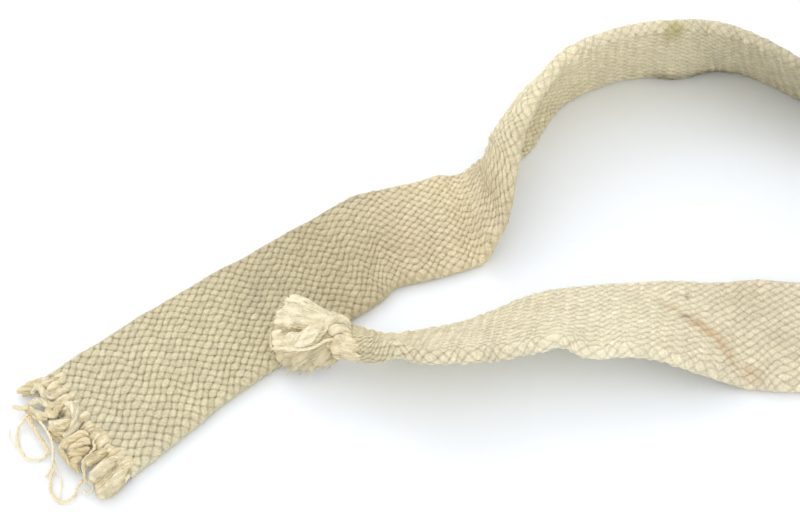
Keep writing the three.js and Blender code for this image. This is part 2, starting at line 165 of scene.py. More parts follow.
class Strand:
    """One strand of web.  t is a place in stations, s the length along it in mm.

    cell, skew, edge_calm and the shade table are (stations, values) tables: length of a braid cell,
    how far the braid is out of square, calming of the rounded edges, painted shade in the hollows.
    """

    def __init__(self, stations, side, relief, cell, skew, edge_calm, hollow_shade, tones, marks):
        self.stations = np.array(stations, float)
        self.side, self.relief = side, relief
        self.skew, self.edge_calm, self.hollow_shade = skew, edge_calm, hollow_shade
        self.tones, self.marks = np.array(tones), marks
        self.t = np.linspace(0, len(stations) - 1, (len(stations) - 1) * 24 + 1)
        self.s = run_lengths(centres(self.stations, self.t))
        size = np.interp(self.t, *cell)
        steps = np.diff(self.s) * 2 / (size[1:] + size[:-1])
        self.phase = np.concatenate([[0], np.cumsum(steps)])

    def s_of(self, t):
        return np.interp(t, self.t, self.s)

    def t_of(self, s):
        return np.interp(s, self.s, self.t)


# ---- colours of the cloth, with painted shade -----------------------------
# Station, then 8-bit red, green, blue.
TONES_A = [[0, 226, 217, 184], [4, 219, 208, 173], [7, 209, 196, 161], [9, 229, 215, 179],
           [11, 242, 228, 191], [13, 225, 212, 178], [17, 240, 229, 194], [20, 243, 232, 198],
           # painted shade: the dark keys at 27 and 31 shade the face of strand A where it stands on
           # edge before the roll
           [23, 234, 224, 192], [27, 193, 184, 156], [31, 188, 180, 153], [40, 214, 205, 178]]
TONES_B = [[0, 224, 216, 190], [96, 224, 216, 190], [102, 229, 219, 190], [104.2, 233, 222, 192],
           [106, 239, 229, 198], [107.5, 245, 236, 206], [112, 240, 230, 198],
           [115.5, 236, 225, 190], [117.5, 228, 216, 180], [119, 222, 210, 174]]
BROWN, RUST, OLIVE = srgb(150, 116, 80), srgb(196, 146, 92), srgb(178, 168, 100)
GREY, SHADE = srgb(186, 176, 146), srgb(112, 100, 76)
# Soft spots, some of them painted shade and shadow: centre, reach in x, y, z, strength, colour.
MARKS_A = [
    ((92.9, 69.4, 37), (2.8, 3.6, 5), 0.78, OLIVE), ((92, 72, 31), (2.2, 4, 6), 0.52, OLIVE),
    # painted shade in a crease of the arc (first mark) and greyer shade to its right (second)
    ((102.4, 67.8, 29), (2, 5, 7), 0.52, GREY), ((112, 66, 24), (7, 8, 8), 0.18, GREY),
    # painted shadow: the SHADE marks on this line and the next darken the arc's bottom edge where it
    # lifts off the ground; the last mark on the next line is painted shade in the pressed dent of
    # the first run
    ((98.5, 89.6, 1.5), (5, 4, 2.6), 0.80, SHADE), ((108.5, 91.3, 1), (5, 4, 2), 0.70, SHADE),
    ((120, 91.8, 1), (8, 4, 1.8), 0.62, SHADE), ((-43.4, -15.5, 4), (2.8, 7, 6), 0.34, GREY),
    ((-36, -12, 4), (14, 9, 6), 0.16, GREY), ((-13, 8, 4), (16, 8, 6), 0.12, GREY),
    ((4, 2, 4), (9, 6, 6), 0.14, BROWN), ((30, 12, 8), (9, 9, 9), 0.10, BROWN),
    ((38, 30, 20), (4, 5, 7), 0.18, BROWN), ((-84, -56, 4), (10, 8, 6), 0.08, GREY),
]
MARKS_B = [
    ((80.2, -25.2, 6), (1.5, 0.9, 8), 0.40, RUST), ((83.4, -28.4, 6), (1.5, 0.8, 8), 0.70, BROWN),
    ((86.4, -31.2, 6), (2.0, 1.2, 8), 0.55, RUST), ((89.4, -34.0, 6), (1.9, 1.2, 8), 0.62, RUST),
    ((92.0, -37.6, 6), (1.3, 1.8, 8), 0.50, RUST), ((94.2, -41.4, 6), (1.1, 2.0, 8), 0.40, RUST),
    ((85.6, -19.5, 6), (0.8, 0.6, 8), 0.6, BROWN), ((99.5, -46.0, 5), (2.2, 2.0, 6), 0.30, RUST),
    ((104, -20, 4), (6, 5.5, 8), 0.16, BROWN), ((112, -34, 4), (5, 5, 8), 0.10, BROWN),
    # painted shade on the lower face of the neck: the second mark on this line and the first on the
    # next
    ((60, -24, 8), (16, 5, 10), 0.08, GREY), ((-7, -48.5, 15), (7, 2.8, 6), 0.40, GREY),
    ((2, -52, 21), (6, 1.8, 5), 0.22, GREY), ((29, -50, 19), (9, 1.6, 5), 0.16, BROWN),
]

STRAND_A = Strand(
    ALL_A, side=1, relief=1.0,
    cell=([0, 12, 15, 19, 27, 200], [3.3, 3.35, 3.6, 3.8, 3.8, 3.8]),
    skew=([0, 9, 12, 17, 200], [0.13, 0.13, 0.10, 0, 0]),
    edge_calm=([0, 200], [1, 1]),
    hollow_shade=([0, 13, 19, 25, 200], [1.3, 1.3, 0.85, 0.62, 0.62]),
    tones=TONES_A, marks=MARKS_A)
STRAND_B = Strand(
    ALL_B, side=-1, relief=0.88,
    cell=([0, EXIT_B + 14, EXIT_B + 19, EXIT_B + 22], [3.8, 3.7, 3.3, 3.0]),
    skew=([0, 200], [0, 0]),
    edge_calm=([0, 108, 113], [1, 1, 0.25]),            # less where the tube is gathered
    # painted shade in the hollows, stronger towards the gathered neck
    hollow_shade=([0, 106, 109, 111, 114, 119], [0.40, 0.42, 0.52, 0.80, 1.25, 1.35]),
    tones=TONES_B, marks=MARKS_B)


def base_tone(strand, verts, t):
    """Cloth colour by place, with painted shade from some tones and marks, before the braid shades
    it: (rings, around, 3).
    """
    colours = srgb(*strand.tones[:, 1:])
    tone = np.stack([np.interp(t, strand.tones[:, 0], c) for c in colours.T], -1)[:, None]
    for centre, reach, strength, colour in strand.marks:
        spot = np.exp(-0.5 * (((verts - centre) / reach) ** 2).sum(-1))
        cover = np.clip(strength * spot, 0, 0.8)[..., None]
        tone = tone * (1 - cover) + colour * cover
    return tone


# ---- the braid ------------------------------------------------------------
def waves(seed, count, shortest, longest, turns, s, around):
    """Smooth noise of mean 0, about +-1, over length s (mm) and around (0..1)."""
    rng = np.random.default_rng(seed)
    out = np.zeros(np.broadcast(s, around).shape)
    for _ in range(count):
        wavelength = math.exp(rng.uniform(math.log(shortest), math.log(longest)))
        turn = rng.integers(-turns, turns + 1)
        out += rng.uniform(0.5, 1) * np.sin(
            TAU * (s / wavelength + turn * around) + rng.uniform(0, TAU))
    return out / (0.55 * math.sqrt(count) * 1.6)


def hash01(*keys):
    """A repeatable number in 0..1 for each set of up to three whole keys."""
    h = np.zeros(np.broadcast(*keys).shape, np.uint64)
    for key, factor in zip(keys, (2654435761, 2246822519, 3266489917)):
        whole = (np.asarray(key).astype(np.int64) + 100000).astype(np.uint64)
        h = (h * np.uint64(1103515245) + whole * np.uint64(factor)) & np.uint64(0xFFFFFFFF)
        h ^= h >> np.uint64(15)
        h = (h * np.uint64(2246822519)) & np.uint64(0xFFFFFFFF)
        h ^= h >> np.uint64(13)
    return h.astype(float) / 4294967295.0


RISE, PLUMP = 0.40, 0.56        # how far yarns rise at a crossing, and how rounded they are
RELIEF = RISE + PLUMP


def braid(p, q):
    """One-over-one diamond braid: height, yarn value, places along and across the yarn."""
    i, j = np.floor(p), np.floor(q)
    in_p, in_q = p - i - 0.5, q - j - 0.5
    up = np.where((i + j) % 2 == 0, 1.0, -1.0)
    width_1 = 0.93 + 0.10 * hash01(j, 7)
    width_2 = 0.99 + 0.08 * hash01(i, 9)
    swell = 0.70 + 0.5 * hash01(i, j, 3)
    tilt = (hash01(i, j, 6) - 0.5) * 0.22 * up          # each crossing sits a little askew

    def height(along, across, rise, rise_power, plump, side_power, roundness):
        crown = np.clip(1 - np.abs(2 * across) ** side_power, 0, 1) ** roundness
        return rise * up * (1 - np.abs(2 * along) ** rise_power) * swell + plump * crown

    first_yarn = height(in_p, in_q / width_1, rise=1.3 * RISE, rise_power=3.4,
                        plump=PLUMP, side_power=2.2, roundness=0.58) + tilt * in_p
    second_yarn = height(in_q, in_p / width_2, rise=-0.72 * RISE, rise_power=2.0,
                         plump=0.86 * PLUMP, side_power=3.0, roundness=0.5) - tilt * in_q
    first = first_yarn >= second_yarn
    yarn = np.where(first, hash01(j, 1), hash01(i, 2))
    along = np.where(first, p, q) * 2.25                # 2.25 mm of yarn to a cell
    across = np.where(first, in_q, in_p) * 2.25
    return np.maximum(first_yarn, second_yarn), yarn, along, across


class Sections:
    """Curled cross-sections of a strand at places t."""

    def __init__(self, strand, t):
        stations = strand.stations
        row = rows_at(stations, t)
        first, second, curl, self.thick = row[:, :3], row[:, 3:6], row[:, 6], row[:, 7]
        width = np.linalg.norm(second - first, axis=1)
        self.across = unit(second - first)
        ahead = centres(stations, np.minimum(t + 0.02, len(stations) - 1))
        tangent = unit(ahead - centres(stations, np.maximum(t - 0.02, 0)))
        self.up = unit(np.cross(self.across, tangent)) * strand.side
        self.centre = (first + second) / 2
        half = np.radians(curl) / 2
        self.straight = np.abs(half) < 1e-3
        self.half = np.where(self.straight, 1e-3, half)
        self.arc = np.where(self.straight, width, width * self.half / np.sin(self.half))
        self.radius = width / 2 / np.sin(self.half)

    def place(self, at, off_across, off_up):
        """Points at mm along the curled line, moved along it and off it; and the two axes."""
        straight, radius = self.straight[:, None], self.radius[:, None]
        angle = np.where(straight, 0, at / radius)
        a = np.where(straight, at, radius * np.sin(angle))[..., None]
        b = radius * (np.cos(angle) - np.cos(self.half)[:, None])
        b = np.where(straight, 0, b)[..., None]
        cos, sin = np.cos(angle)[..., None], np.sin(angle)[..., None]
        across, up = self.across[:, None], self.up[:, None]
        normal, level = up * cos + across * sin, across * cos - up * sin
        points = self.centre[:, None] + across * a + up * b
        return points + level * off_across[..., None] + normal * off_up[..., None], normal, level

    def ground_gap(self, spacing):
        """How far each section drops to rest on the ground, smoothed away from the ends."""
        lowest = np.full(len(self.arc), np.inf)
        for u in np.linspace(-1, 1, 21):
            at = u * self.arc / 2
            past_flat = np.clip(np.abs(at) - (self.arc - self.thick) / 2, 0, None)
            half = np.sqrt(np.clip((self.thick / 2) ** 2 - past_flat ** 2, 0, None))
            for face in (-1, 1):
                points = self.place(at[:, None], np.zeros((len(at), 1)), (face * half)[:, None])[0]
                lowest = np.minimum(lowest, points[:, 0, 2])
        gap = np.where(self.thick <= 4.3, lowest, np.minimum(lowest, 0))
        k = int(round(2.2 / spacing))                   # smooths over 2.2 mm each way
        kernel = np.hanning(2 * k + 1)
        smooth = np.convolve(np.pad(gap, k, mode="edge"), kernel / kernel.sum(), mode="valid")
        i = np.arange(len(gap))
        ease = np.clip(np.minimum(i, i[::-1]) / k, 0, 1)
        return gap * (1 - ease) + smooth * ease


def tube_profile(sections, around):
    """Core of the flattened tube: half thickness, girth, middle of the first rounded edge,
    place along the curled line, and the outward direction across and up."""
    core = (sections.thick / 2 - 0.55)[:, None]         # half thickness under the yarns
    flat = (sections.arc - sections.thick)[:, None]
    edge = math.pi * core
    girth = 2 * flat + TAU * core
    x = around * girth
    faces = [x < flat, x < flat + edge, x < 2 * flat + edge]
    turn, turn_back = (x - flat) / core, (x - 2 * flat - edge) / core
    at = np.select(faces, [x - flat / 2, flat / 2 + 0 * x, flat / 2 - (x - flat - edge)],
                   -flat / 2 + 0 * x)
    zero, one = np.zeros_like(x), np.ones_like(x)
    out_across = np.select(faces, [zero, np.sin(turn), zero], -np.sin(turn_back))
    out_up = np.select(faces, [one, np.cos(turn), -one], -np.cos(turn_back))
    return core, girth, ((flat + edge / 2) / girth)[:, 0], at, out_across, out_up


def settle(verts, gap):
    """Presses a shallow dent into strand A's first run, then rests the web on the ground."""
    x, y, z = np.moveaxis(verts, -1, 0)
    dent = np.exp(-0.5 * (((x + 43.6) * 0.80 + (y + 15.5) * 0.25) / 2.2) ** 2)
    dent *= np.exp(-0.5 * ((y + 15.5) / 8.0) ** 2) * (z > 2.2)
    z = z - 0.9 * dent - gap[:, None]
    verts[..., 2] = np.where(z < 0.03, 0.03 - 0.1 * np.tanh((0.03 - z) * 4), z)


def web_surface(strand, span, step, around):
    """Rings of a length of web: vertices, normals, edge middles, tone, hollows and yarn."""
    s0, s1 = strand.s_of(span)
    s = np.linspace(s0, s1, int(math.ceil((s1 - s0) / step)) + 1)
    t = strand.t_of(s)
    t[0], t[-1] = span
    # one more ring past each end, for the normals
    s = np.concatenate([[s0 - 0.3], s, [s1 + 0.3]])
    t = np.concatenate([[strand.t_of(s[0])], t, [strand.t_of(s[-1])]])
    sections = Sections(strand, t)
    core, girth, middle, at, out_across, out_up = tube_profile(sections, around)

    def noise(seed, count, shortest, longest, turns):
        return waves(seed, count, shortest, longest, turns, s[:, None], around)

    phase = np.interp(s, strand.s, strand.phase)[:, None]
    phase = phase + 0.13 * noise(11, 7, 9, 60, 2) + 0.06 * noise(12, 8, 4, 9, 4)
    cell = around * CELLS + 0.15 * noise(13, 7, 10, 70, 2) + 0.06 * noise(14, 8, 4, 9, 4)
    skew = np.interp(strand.t_of(s), *strand.skew)[:, None]
    phase = phase + skew * at * CELLS / girth
    height, yarn, yarn_along, yarn_across = braid(phase + strand.side * cell,
                                                  phase - strand.side * cell)
    # rounded edges of the tube show less relief
    calm = np.abs(out_across) * np.interp(t, *strand.edge_calm)[:, None]
    height = 0.5 * RELIEF + (height - 0.5 * RELIEF) * (1 - 0.45 * calm) * strand.relief
    off = core + height + (0.16 * noise(15, 6, 14, 60, 3) + 0.07 * noise(16, 8, 5, 12, 5))
    verts, normal, level = sections.place(at, out_across * off, out_up * off)
    outward = normal * out_up[..., None] + level * out_across[..., None]
    settle(verts, sections.ground_gap((s1 - s0) / len(s)))

    along = verts[2:] - verts[:-2]
    if t[0] == 0:
        along[0] = verts[2] - verts[1]
    if t[-1] >= len(strand.stations) - 1.001:
        along[-1] = verts[-2] - verts[-3]
    across = (np.roll(verts, -1, 1) - np.roll(verts, 1, 1))[1:-1]
    normals = unit(np.cross(along, across))
    normals *= np.where((normals * outward[1:-1]).sum(-1, keepdims=True) < 0, -1, 1)

    # each yarn and crossing has its own tint, with slow mottling, painted shade in the hollows and
    # painted light on the raised yarn
    raised = height / RELIEF
    crossing = hash01(np.floor(phase + cell), np.floor(phase - cell), 5) - 0.5
    tone = base_tone(strand, verts, t) * (1 + 0.08 * (yarn - 0.5) + 0.11 * crossing)[..., None]
    mottle = 0.5 * noise(31, 7, 12, 70, 4) + 0.5 * noise(32, 7, 4, 14, 7)
    tone = tone * (1 + mottle[..., None] * np.array([0.016, 0.02, 0.032]))
    # painted shade: the braid is darkened where it lies low and lightened where it is raised
    hollow_shade = np.interp(t, *strand.hollow_shade)[:, None] * (1 - 0.6 * calm)
    deep = np.clip(np.clip((0.70 - raised) / 0.70, 0, 1) ** 1.1 * hollow_shade, 0, 1)[..., None]
    raised = np.clip(raised, 0, 1)
    tone = tone * (1 - deep * np.array([0.62, 0.66, 0.74])) * (0.94 + 0.07 * raised)[..., None]
    yarn = np.stack([yarn_along, yarn_across, yarn * 40], -1)
    keep = slice(1, -1)
    return verts[keep], normals, middle[keep], tone[keep], raised[keep], yarn[keep]


# ---- materials ------------------------------------------------------------
def cotton(name, bump_mm, rough, sheen, streak, mottle):
    """Cotton with fibre streaks along each yarn (streak: how fine) and a fine mottle."""
    material = bpy.data.materials.new(name)
    material.use_nodes = True
    tree = material.node_tree
    tree.nodes.clear()

    def node(kind, inputs, **settings):
        """Adds a node; each input gets a value or a link from a socket."""
        made = tree.nodes.new("ShaderNode" + kind)
        for key, value in settings.items():
            setattr(made, key, value)
        for key, value in inputs.items():
            if isinstance(value, bpy.types.NodeSocket):
                tree.links.new(value, made.inputs[key])
            else:
                made.inputs[key].default_value = value
        return made

    tone = node("Attribute", {}, attribute_name="tone").outputs["Color"]
    yarn = node("Attribute", {}, attribute_name="yarn").outputs["Vector"]
    raised = node("Attribute", {}, attribute_name="crev").outputs["Fac"]
    stretched = node("Mapping", {"Scale": (0.7, streak, 1.0), "Vector": yarn}).outputs[0]
    streaks = node("TexNoise", {"Scale": 1.0, "Detail": 4.0, "Roughness": 0.7,
                                "Vector": stretched}).outputs["Fac"]
    place = node("TexCoord", {}).outputs["Object"]
    grain = node("TexNoise", {"Scale": 1500.0, "Detail": 5.0, "Roughness": 0.65,
                              "Vector": place}).outputs["Fac"]
    # streaks and grain lighten and darken the cloth a little
    shade_1 = node("MapRange", {"From Min": 0.25, "From Max": 0.75, "To Min": 1 - 1.25 * mottle,
                                "To Max": 1 + 0.9 * mottle, "Value": streaks}).outputs[0]
    shade_2 = node("MapRange", {"From Min": 0.3, "From Max": 0.7, "To Min": 1 - 1.1 * mottle,
                                "To Max": 1 + 0.8 * mottle, "Value": grain}).outputs[0]
    shade = node("Math", {0: shade_1, 1: shade_2}, operation="MULTIPLY").outputs[0]
    colour = node("VectorMath", {0: tone, "Scale": shade}, operation="SCALE").outputs["Vector"]
    fuzz = node("Math", {0: grain, 1: 0.35, 2: streaks}, operation="MULTIPLY_ADD").outputs[0]
    bump = node("Bump", {"Strength": 0.8, "Distance": bump_mm * 0.001, "Height": fuzz}).outputs[0]
    dull = node("MapRange", {"To Min": 1.0, "To Max": rough, "Value": raised}).outputs[0]
    surface = node("BsdfPrincipled", {
        "Base Color": colour, "Normal": bump, "Roughness": dull, "Specular IOR Level": 0.25,
        "Sheen Weight": sheen, "Sheen Roughness": 0.45,
        "Sheen Tint": (1.0, 0.97, 0.9, 1)}).outputs[0]
    node("OutputMaterial", {"Surface": surface})
    return material


MATERIALS = {
    "braided_cotton": cotton("braided_cotton", bump_mm=0.34, rough=0.92, sheen=0.22,
                             streak=3.0, mottle=0.19),
    "cotton_yarn": cotton("cotton_yarn", bump_mm=0.34, rough=0.9, sheen=0.28,
                          streak=3.6, mottle=0.14),
    "raw_fibre": cotton("raw_fibre", bump_mm=0.16, rough=0.88, sheen=0.32,
                        streak=4.0, mottle=0.09),
}


# ---- meshes ---------------------------------------------------------------
def build(name, slot, verts, quads, tris, uv_quads, uv_tris, tone, raised, yarn):
    """A smooth mesh object from arrays, with its UV map, attributes and material slot."""
    mesh = bpy.data.meshes.new(name)
    mesh.vertices.add(len(verts))
    mesh.vertices.foreach_set("co", row_frame(verts).astype(np.float32).ravel())
    corners = np.concatenate([quads.ravel(), tris.ravel()]).astype(np.int32)
    mesh.loops.add(len(corners))
    mesh.loops.foreach_set("vertex_index", corners)
    starts = np.concatenate([np.arange(len(quads)) * 4,
                             len(quads) * 4 + np.arange(len(tris)) * 3]).astype(np.int32)
    mesh.polygons.add(len(starts))
    mesh.polygons.foreach_set("loop_start", starts)
    mesh.polygons.foreach_set("use_smooth", np.ones(len(starts), bool))
    mesh.update(calc_edges=True)
    uv = np.concatenate([uv_quads.ravel(), uv_tris.ravel()])
    mesh.uv_layers.new(name="OFBake").data.foreach_set("uv", uv.astype(np.float32))
    tone = np.concatenate([np.clip(tone, 0, 1), np.ones((len(verts), 1))], 1)
    for key, kind, field, values in (("tone", "FLOAT_COLOR", "color", tone),
                                     ("crev", "FLOAT", "value", raised),
                                     ("yarn", "FLOAT_VECTOR", "vector", yarn)):
        data = mesh.attributes.new(key, kind, "POINT").data
        data.foreach_set(field, values.astype(np.float32).ravel())
    ob = bpy.data.objects.new(name, mesh)
    bpy.context.scene.collection.objects.link(ob)
    mesh.materials.append(MATERIALS[slot])
    return ob


def ring_quads(rings, sides):
    i = np.arange(rings - 1)[:, None] * sides
    j = np.arange(sides)[None]
    k = (j + 1) % sides
    return np.stack([i + j, i + k, i + sides + k, i + sides + j], -1).reshape(-1, 4)


def uv_boxes(u0, v0, u1, v1):
    return np.stack([u0, v0, u1, v0, u1, v1, u0, v1], -1).reshape(-1, 4, 2)


def faces_out(verts, quads):
    """True if the closed surface's quads face out."""
    a, b, c, d = (verts[quads[:, k]] for k in range(4))
    return (np.cross(c - a, d - b) * (a + c)).sum() > 0


def zip_cap(around, middle):
    """Triangles that close a ring across its thickness, from one rounded edge to the other."""
    m = len(around)
    i = int(np.argmin(np.abs(around - middle)))
    a, b = (i + 1) % m, (i - 1) % m
    tris = [(i, a, b)]
    for _ in range(m - 3):
        next_a, next_b = (a + 1) % m, (b - 1) % m
        if (around[next_a] - middle) % 1.0 <= (middle - around[next_b]) % 1.0:
            tris.append((a, next_a, b))
            a = next_a
        else:
            tris.append((a, next_b, b))
            b = next_b
    return np.array(tris)


def web(name, strand, span, step, around):
    """A capped length of braided web between two stations."""
    grid, normals, middle, tone, raised, yarn = web_surface(strand, span, step, around)
    n, m = grid.shape[:2]
    verts = grid.reshape(-1, 3)
    quads = ring_quads(n, m)
    start_cap, end_cap = zip_cap(around, middle[0])[:, ::-1], zip_cap(around, middle[-1])
    tris = np.vstack([start_cap, end_cap + (n - 1) * m])
    # UV: the tube slit along its length and laid out in side-by-side runs
    length = run_lengths(grid.mean(1))[-1]
    runs = max(1, int(round(math.sqrt(length / run_lengths(grid[0])[-1]))))
    ring = np.repeat(np.arange(n - 1), m)
    column = np.tile(np.arange(m), n - 1)
    strip = ring * runs // (n - 1)
    first = -(-strip * (n - 1) // runs)
    tall = -(-(n - 1) // runs)
    u0, u1 = ((strip + 0.01 + 0.98 * (column + k) / m) / runs for k in (0, 1))
    v0, v1 = (0.01 + 0.98 * (ring + k - first) / tall for k in (0, 1))
    uv_quads = uv_boxes(u0, v0, u1, v1)
    far_start = (around[start_cap] - middle[0]) % 1.0 > 0.5
    far_end = (around[end_cap] - middle[-1]) % 1.0 > 0.5
    uv_tris = np.concatenate([
        np.stack([(0.01 + 0.98 * start_cap / m) / runs, 0.01 - 0.008 * far_start], -1),
        np.stack([(strip[-1] + 0.01 + 0.98 * end_cap / m) / runs, v1[-1] + 0.008 * far_end], -1)])
    if not faces_out(verts - verts.mean(0), quads):
        quads, tris, uv_quads, uv_tris = (x[:, ::-1] for x in (quads, tris, uv_quads, uv_tris))
    ob = build(name, "braided_cotton", verts, quads, tris, uv_quads, uv_tris,
               tone.reshape(-1, 3), raised, yarn)
    ob.data.normals_split_custom_set_from_vertices(normals.reshape(-1, 3).astype(np.float32))
    return ob


def web_blend(name, strand, span, bodies, over, *nodes, step=FINE):
    """Web between the two stations in span, with its transform baked in and on no body; it hides the
    named parts.
    """
    ob = web(name, strand, span, step, AROUND)
    start, end = centres(strand.stations, over)
    start[2] = end[2] = (start[2] + end[2]) / 2
    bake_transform(ob)
    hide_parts(*nodes)


def web_ride(name, strand, span, body, *nodes, step=FINE, around=AROUND):
    ob = web(name, strand, span, step, around)
    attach(ob, body)
    if nodes:
        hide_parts(*nodes)


def braided_web():
    a, b, roll = STRAND_A, STRAND_B, "rolled_middle"
    inner = {"step": 0.7, "around": INNER_AROUND}
    web_blend("braid_end_a_tip", a, (0, 2.6), ("end_a", "end_a_tip"), (2, 0.7), "end_a_tip_web")
    web_blend("braid_end_a", a, (2.6, 5.5), ("arm_a", "end_a"), (4, 2.7), "end_a_web")
    web_ride("braid_flat_run", a, (5.5, 12), "arm_a", "flat_run_web")
    web_ride("braid_crook", a, (12, 19), "arm_a", "crook_web")
    web_ride("braid_arc", a, (19, 26), "arm_a", "arc_web")
    web_ride("braid_lead_a", a, (26, 31), "arm_a", "lead_a_web", step=0.4)
    web_blend("braid_lead_a_bend", a, (31, 34), (roll, "arm_a"), (33, 31.2), step=0.4)
    web_ride("braid_roll_a_outer", a, (34, 53), roll, "roll_strand_a", step=0.45)
    web_ride("braid_roll_a_inner", a, (53, CORE_START), roll, **inner)
    web_ride("braid_roll_core", a, (CORE_START, CORE_END), roll, "roll_core", **inner)
    web_ride("braid_roll_b_inner", b, (0, 77), roll, "roll_strand_b", **inner)
    web_ride("braid_roll_b_outer", b, (77, 94), roll, step=0.45)
    web_blend("braid_lead_b_bend", b, (94, 99), (roll, "arm_b"), (96, 98.6), step=0.4)
    web_ride("braid_lead_b", b, (99, 102), "arm_b", "lead_b_web", step=0.34)
    web_blend("braid_flat_strip", b, (102, 106), ("arm_b", "strip_b"), (104, 105.9),
              "flat_strip_web")
    web_blend("braid_strip", b, (106, 110.5), ("strip_b", "wave_b"), (108, 110.4), "strip_web")
    web_blend("braid_wave", b, (110.5, 117.98), ("wave_b", "end_b"), (114, 116.6),
              "wave_web", "neck_web")


braided_web()


# ---- yarns, locks and threads ---------------------------------------------
def path(points, step):
    """Smooth centripetal curve through points, evenly stepped, and the length along it."""
    knots = np.asarray(points, float)
    knots = np.vstack([2 * knots[0] - knots[1], knots, 2 * knots[-1] - knots[-2]])
    curve = []
    for i in range(len(knots) - 3):
        p = knots[i:i + 4]
        times = np.append(0, np.cumsum(np.linalg.norm(np.diff(p, axis=0), axis=1) ** 0.5))
        t = np.linspace(times[1], times[2], 24, endpoint=False)[:, None]

        def mix(a, b, start, end):
            return ((times[end] - t) * a + (t - times[start]) * b) / (times[end] - times[start])

        a1, a2, a3 = [mix(p[k], p[k + 1], k, k + 1) for k in range(3)]
        curve.append(mix(mix(a1, a2, 0, 2), mix(a2, a3, 1, 3), 1, 2))
    curve = np.vstack(curve + [knots[-2][None]])
    s = run_lengths(curve)
    even = np.linspace(0, s[-1], max(4, int(s[-1] / step) + 1))
    return np.stack([np.interp(even, s, curve[:, k]) for k in range(3)], 1), even


def carry(points):
    """Frames carried along a path without twist: tangent and two normals."""
    tangent = unit(np.gradient(points, axis=0))
    side = np.cross(tangent[0], [0, 0, 1.0])
    if np.linalg.norm(side) < 0.1:
        side = np.cross(tangent[0], [1.0, 0, 0])
    sides = [unit(side)]
    for direction in tangent[1:]:
        sides.append(unit(sides[-1] - direction * (sides[-1] @ direction)))
    sides = np.array(sides)
    return tangent, sides, np.cross(tangent, sides)


class Spine:
    """A path with its lengths s, fractions f and carried frames."""

    def __init__(self, points, s):
        self.points, self.s, self.f = points, s, s / s[-1]
        self.tangent, self.side, self.up = carry(points)

    def wind(self, angle, wide, high, part=slice(None)):
        """A line round part of the path, on an oval."""
        return (self.points[part] + self.side[part] * (np.cos(angle) * wide)[:, None]
                + self.up[part] * (np.sin(angle) * high)[:, None])


def ripple(rng, s, shortest, longest):
    return np.sin(TAU * s / rng.uniform(shortest, longest) + rng.uniform(0, TAU))


def swell(f, root, root_part, tip, tip_part):
    """Thickness along a yarn: grows from root and rounds off to tip over the given parts."""
    return np.minimum(root + (1 - root) * np.clip(f / root_part, 0, 1),
                      tip + (1 - tip) * np.sqrt(np.clip((1 - f) / tip_part, 0, 1)))


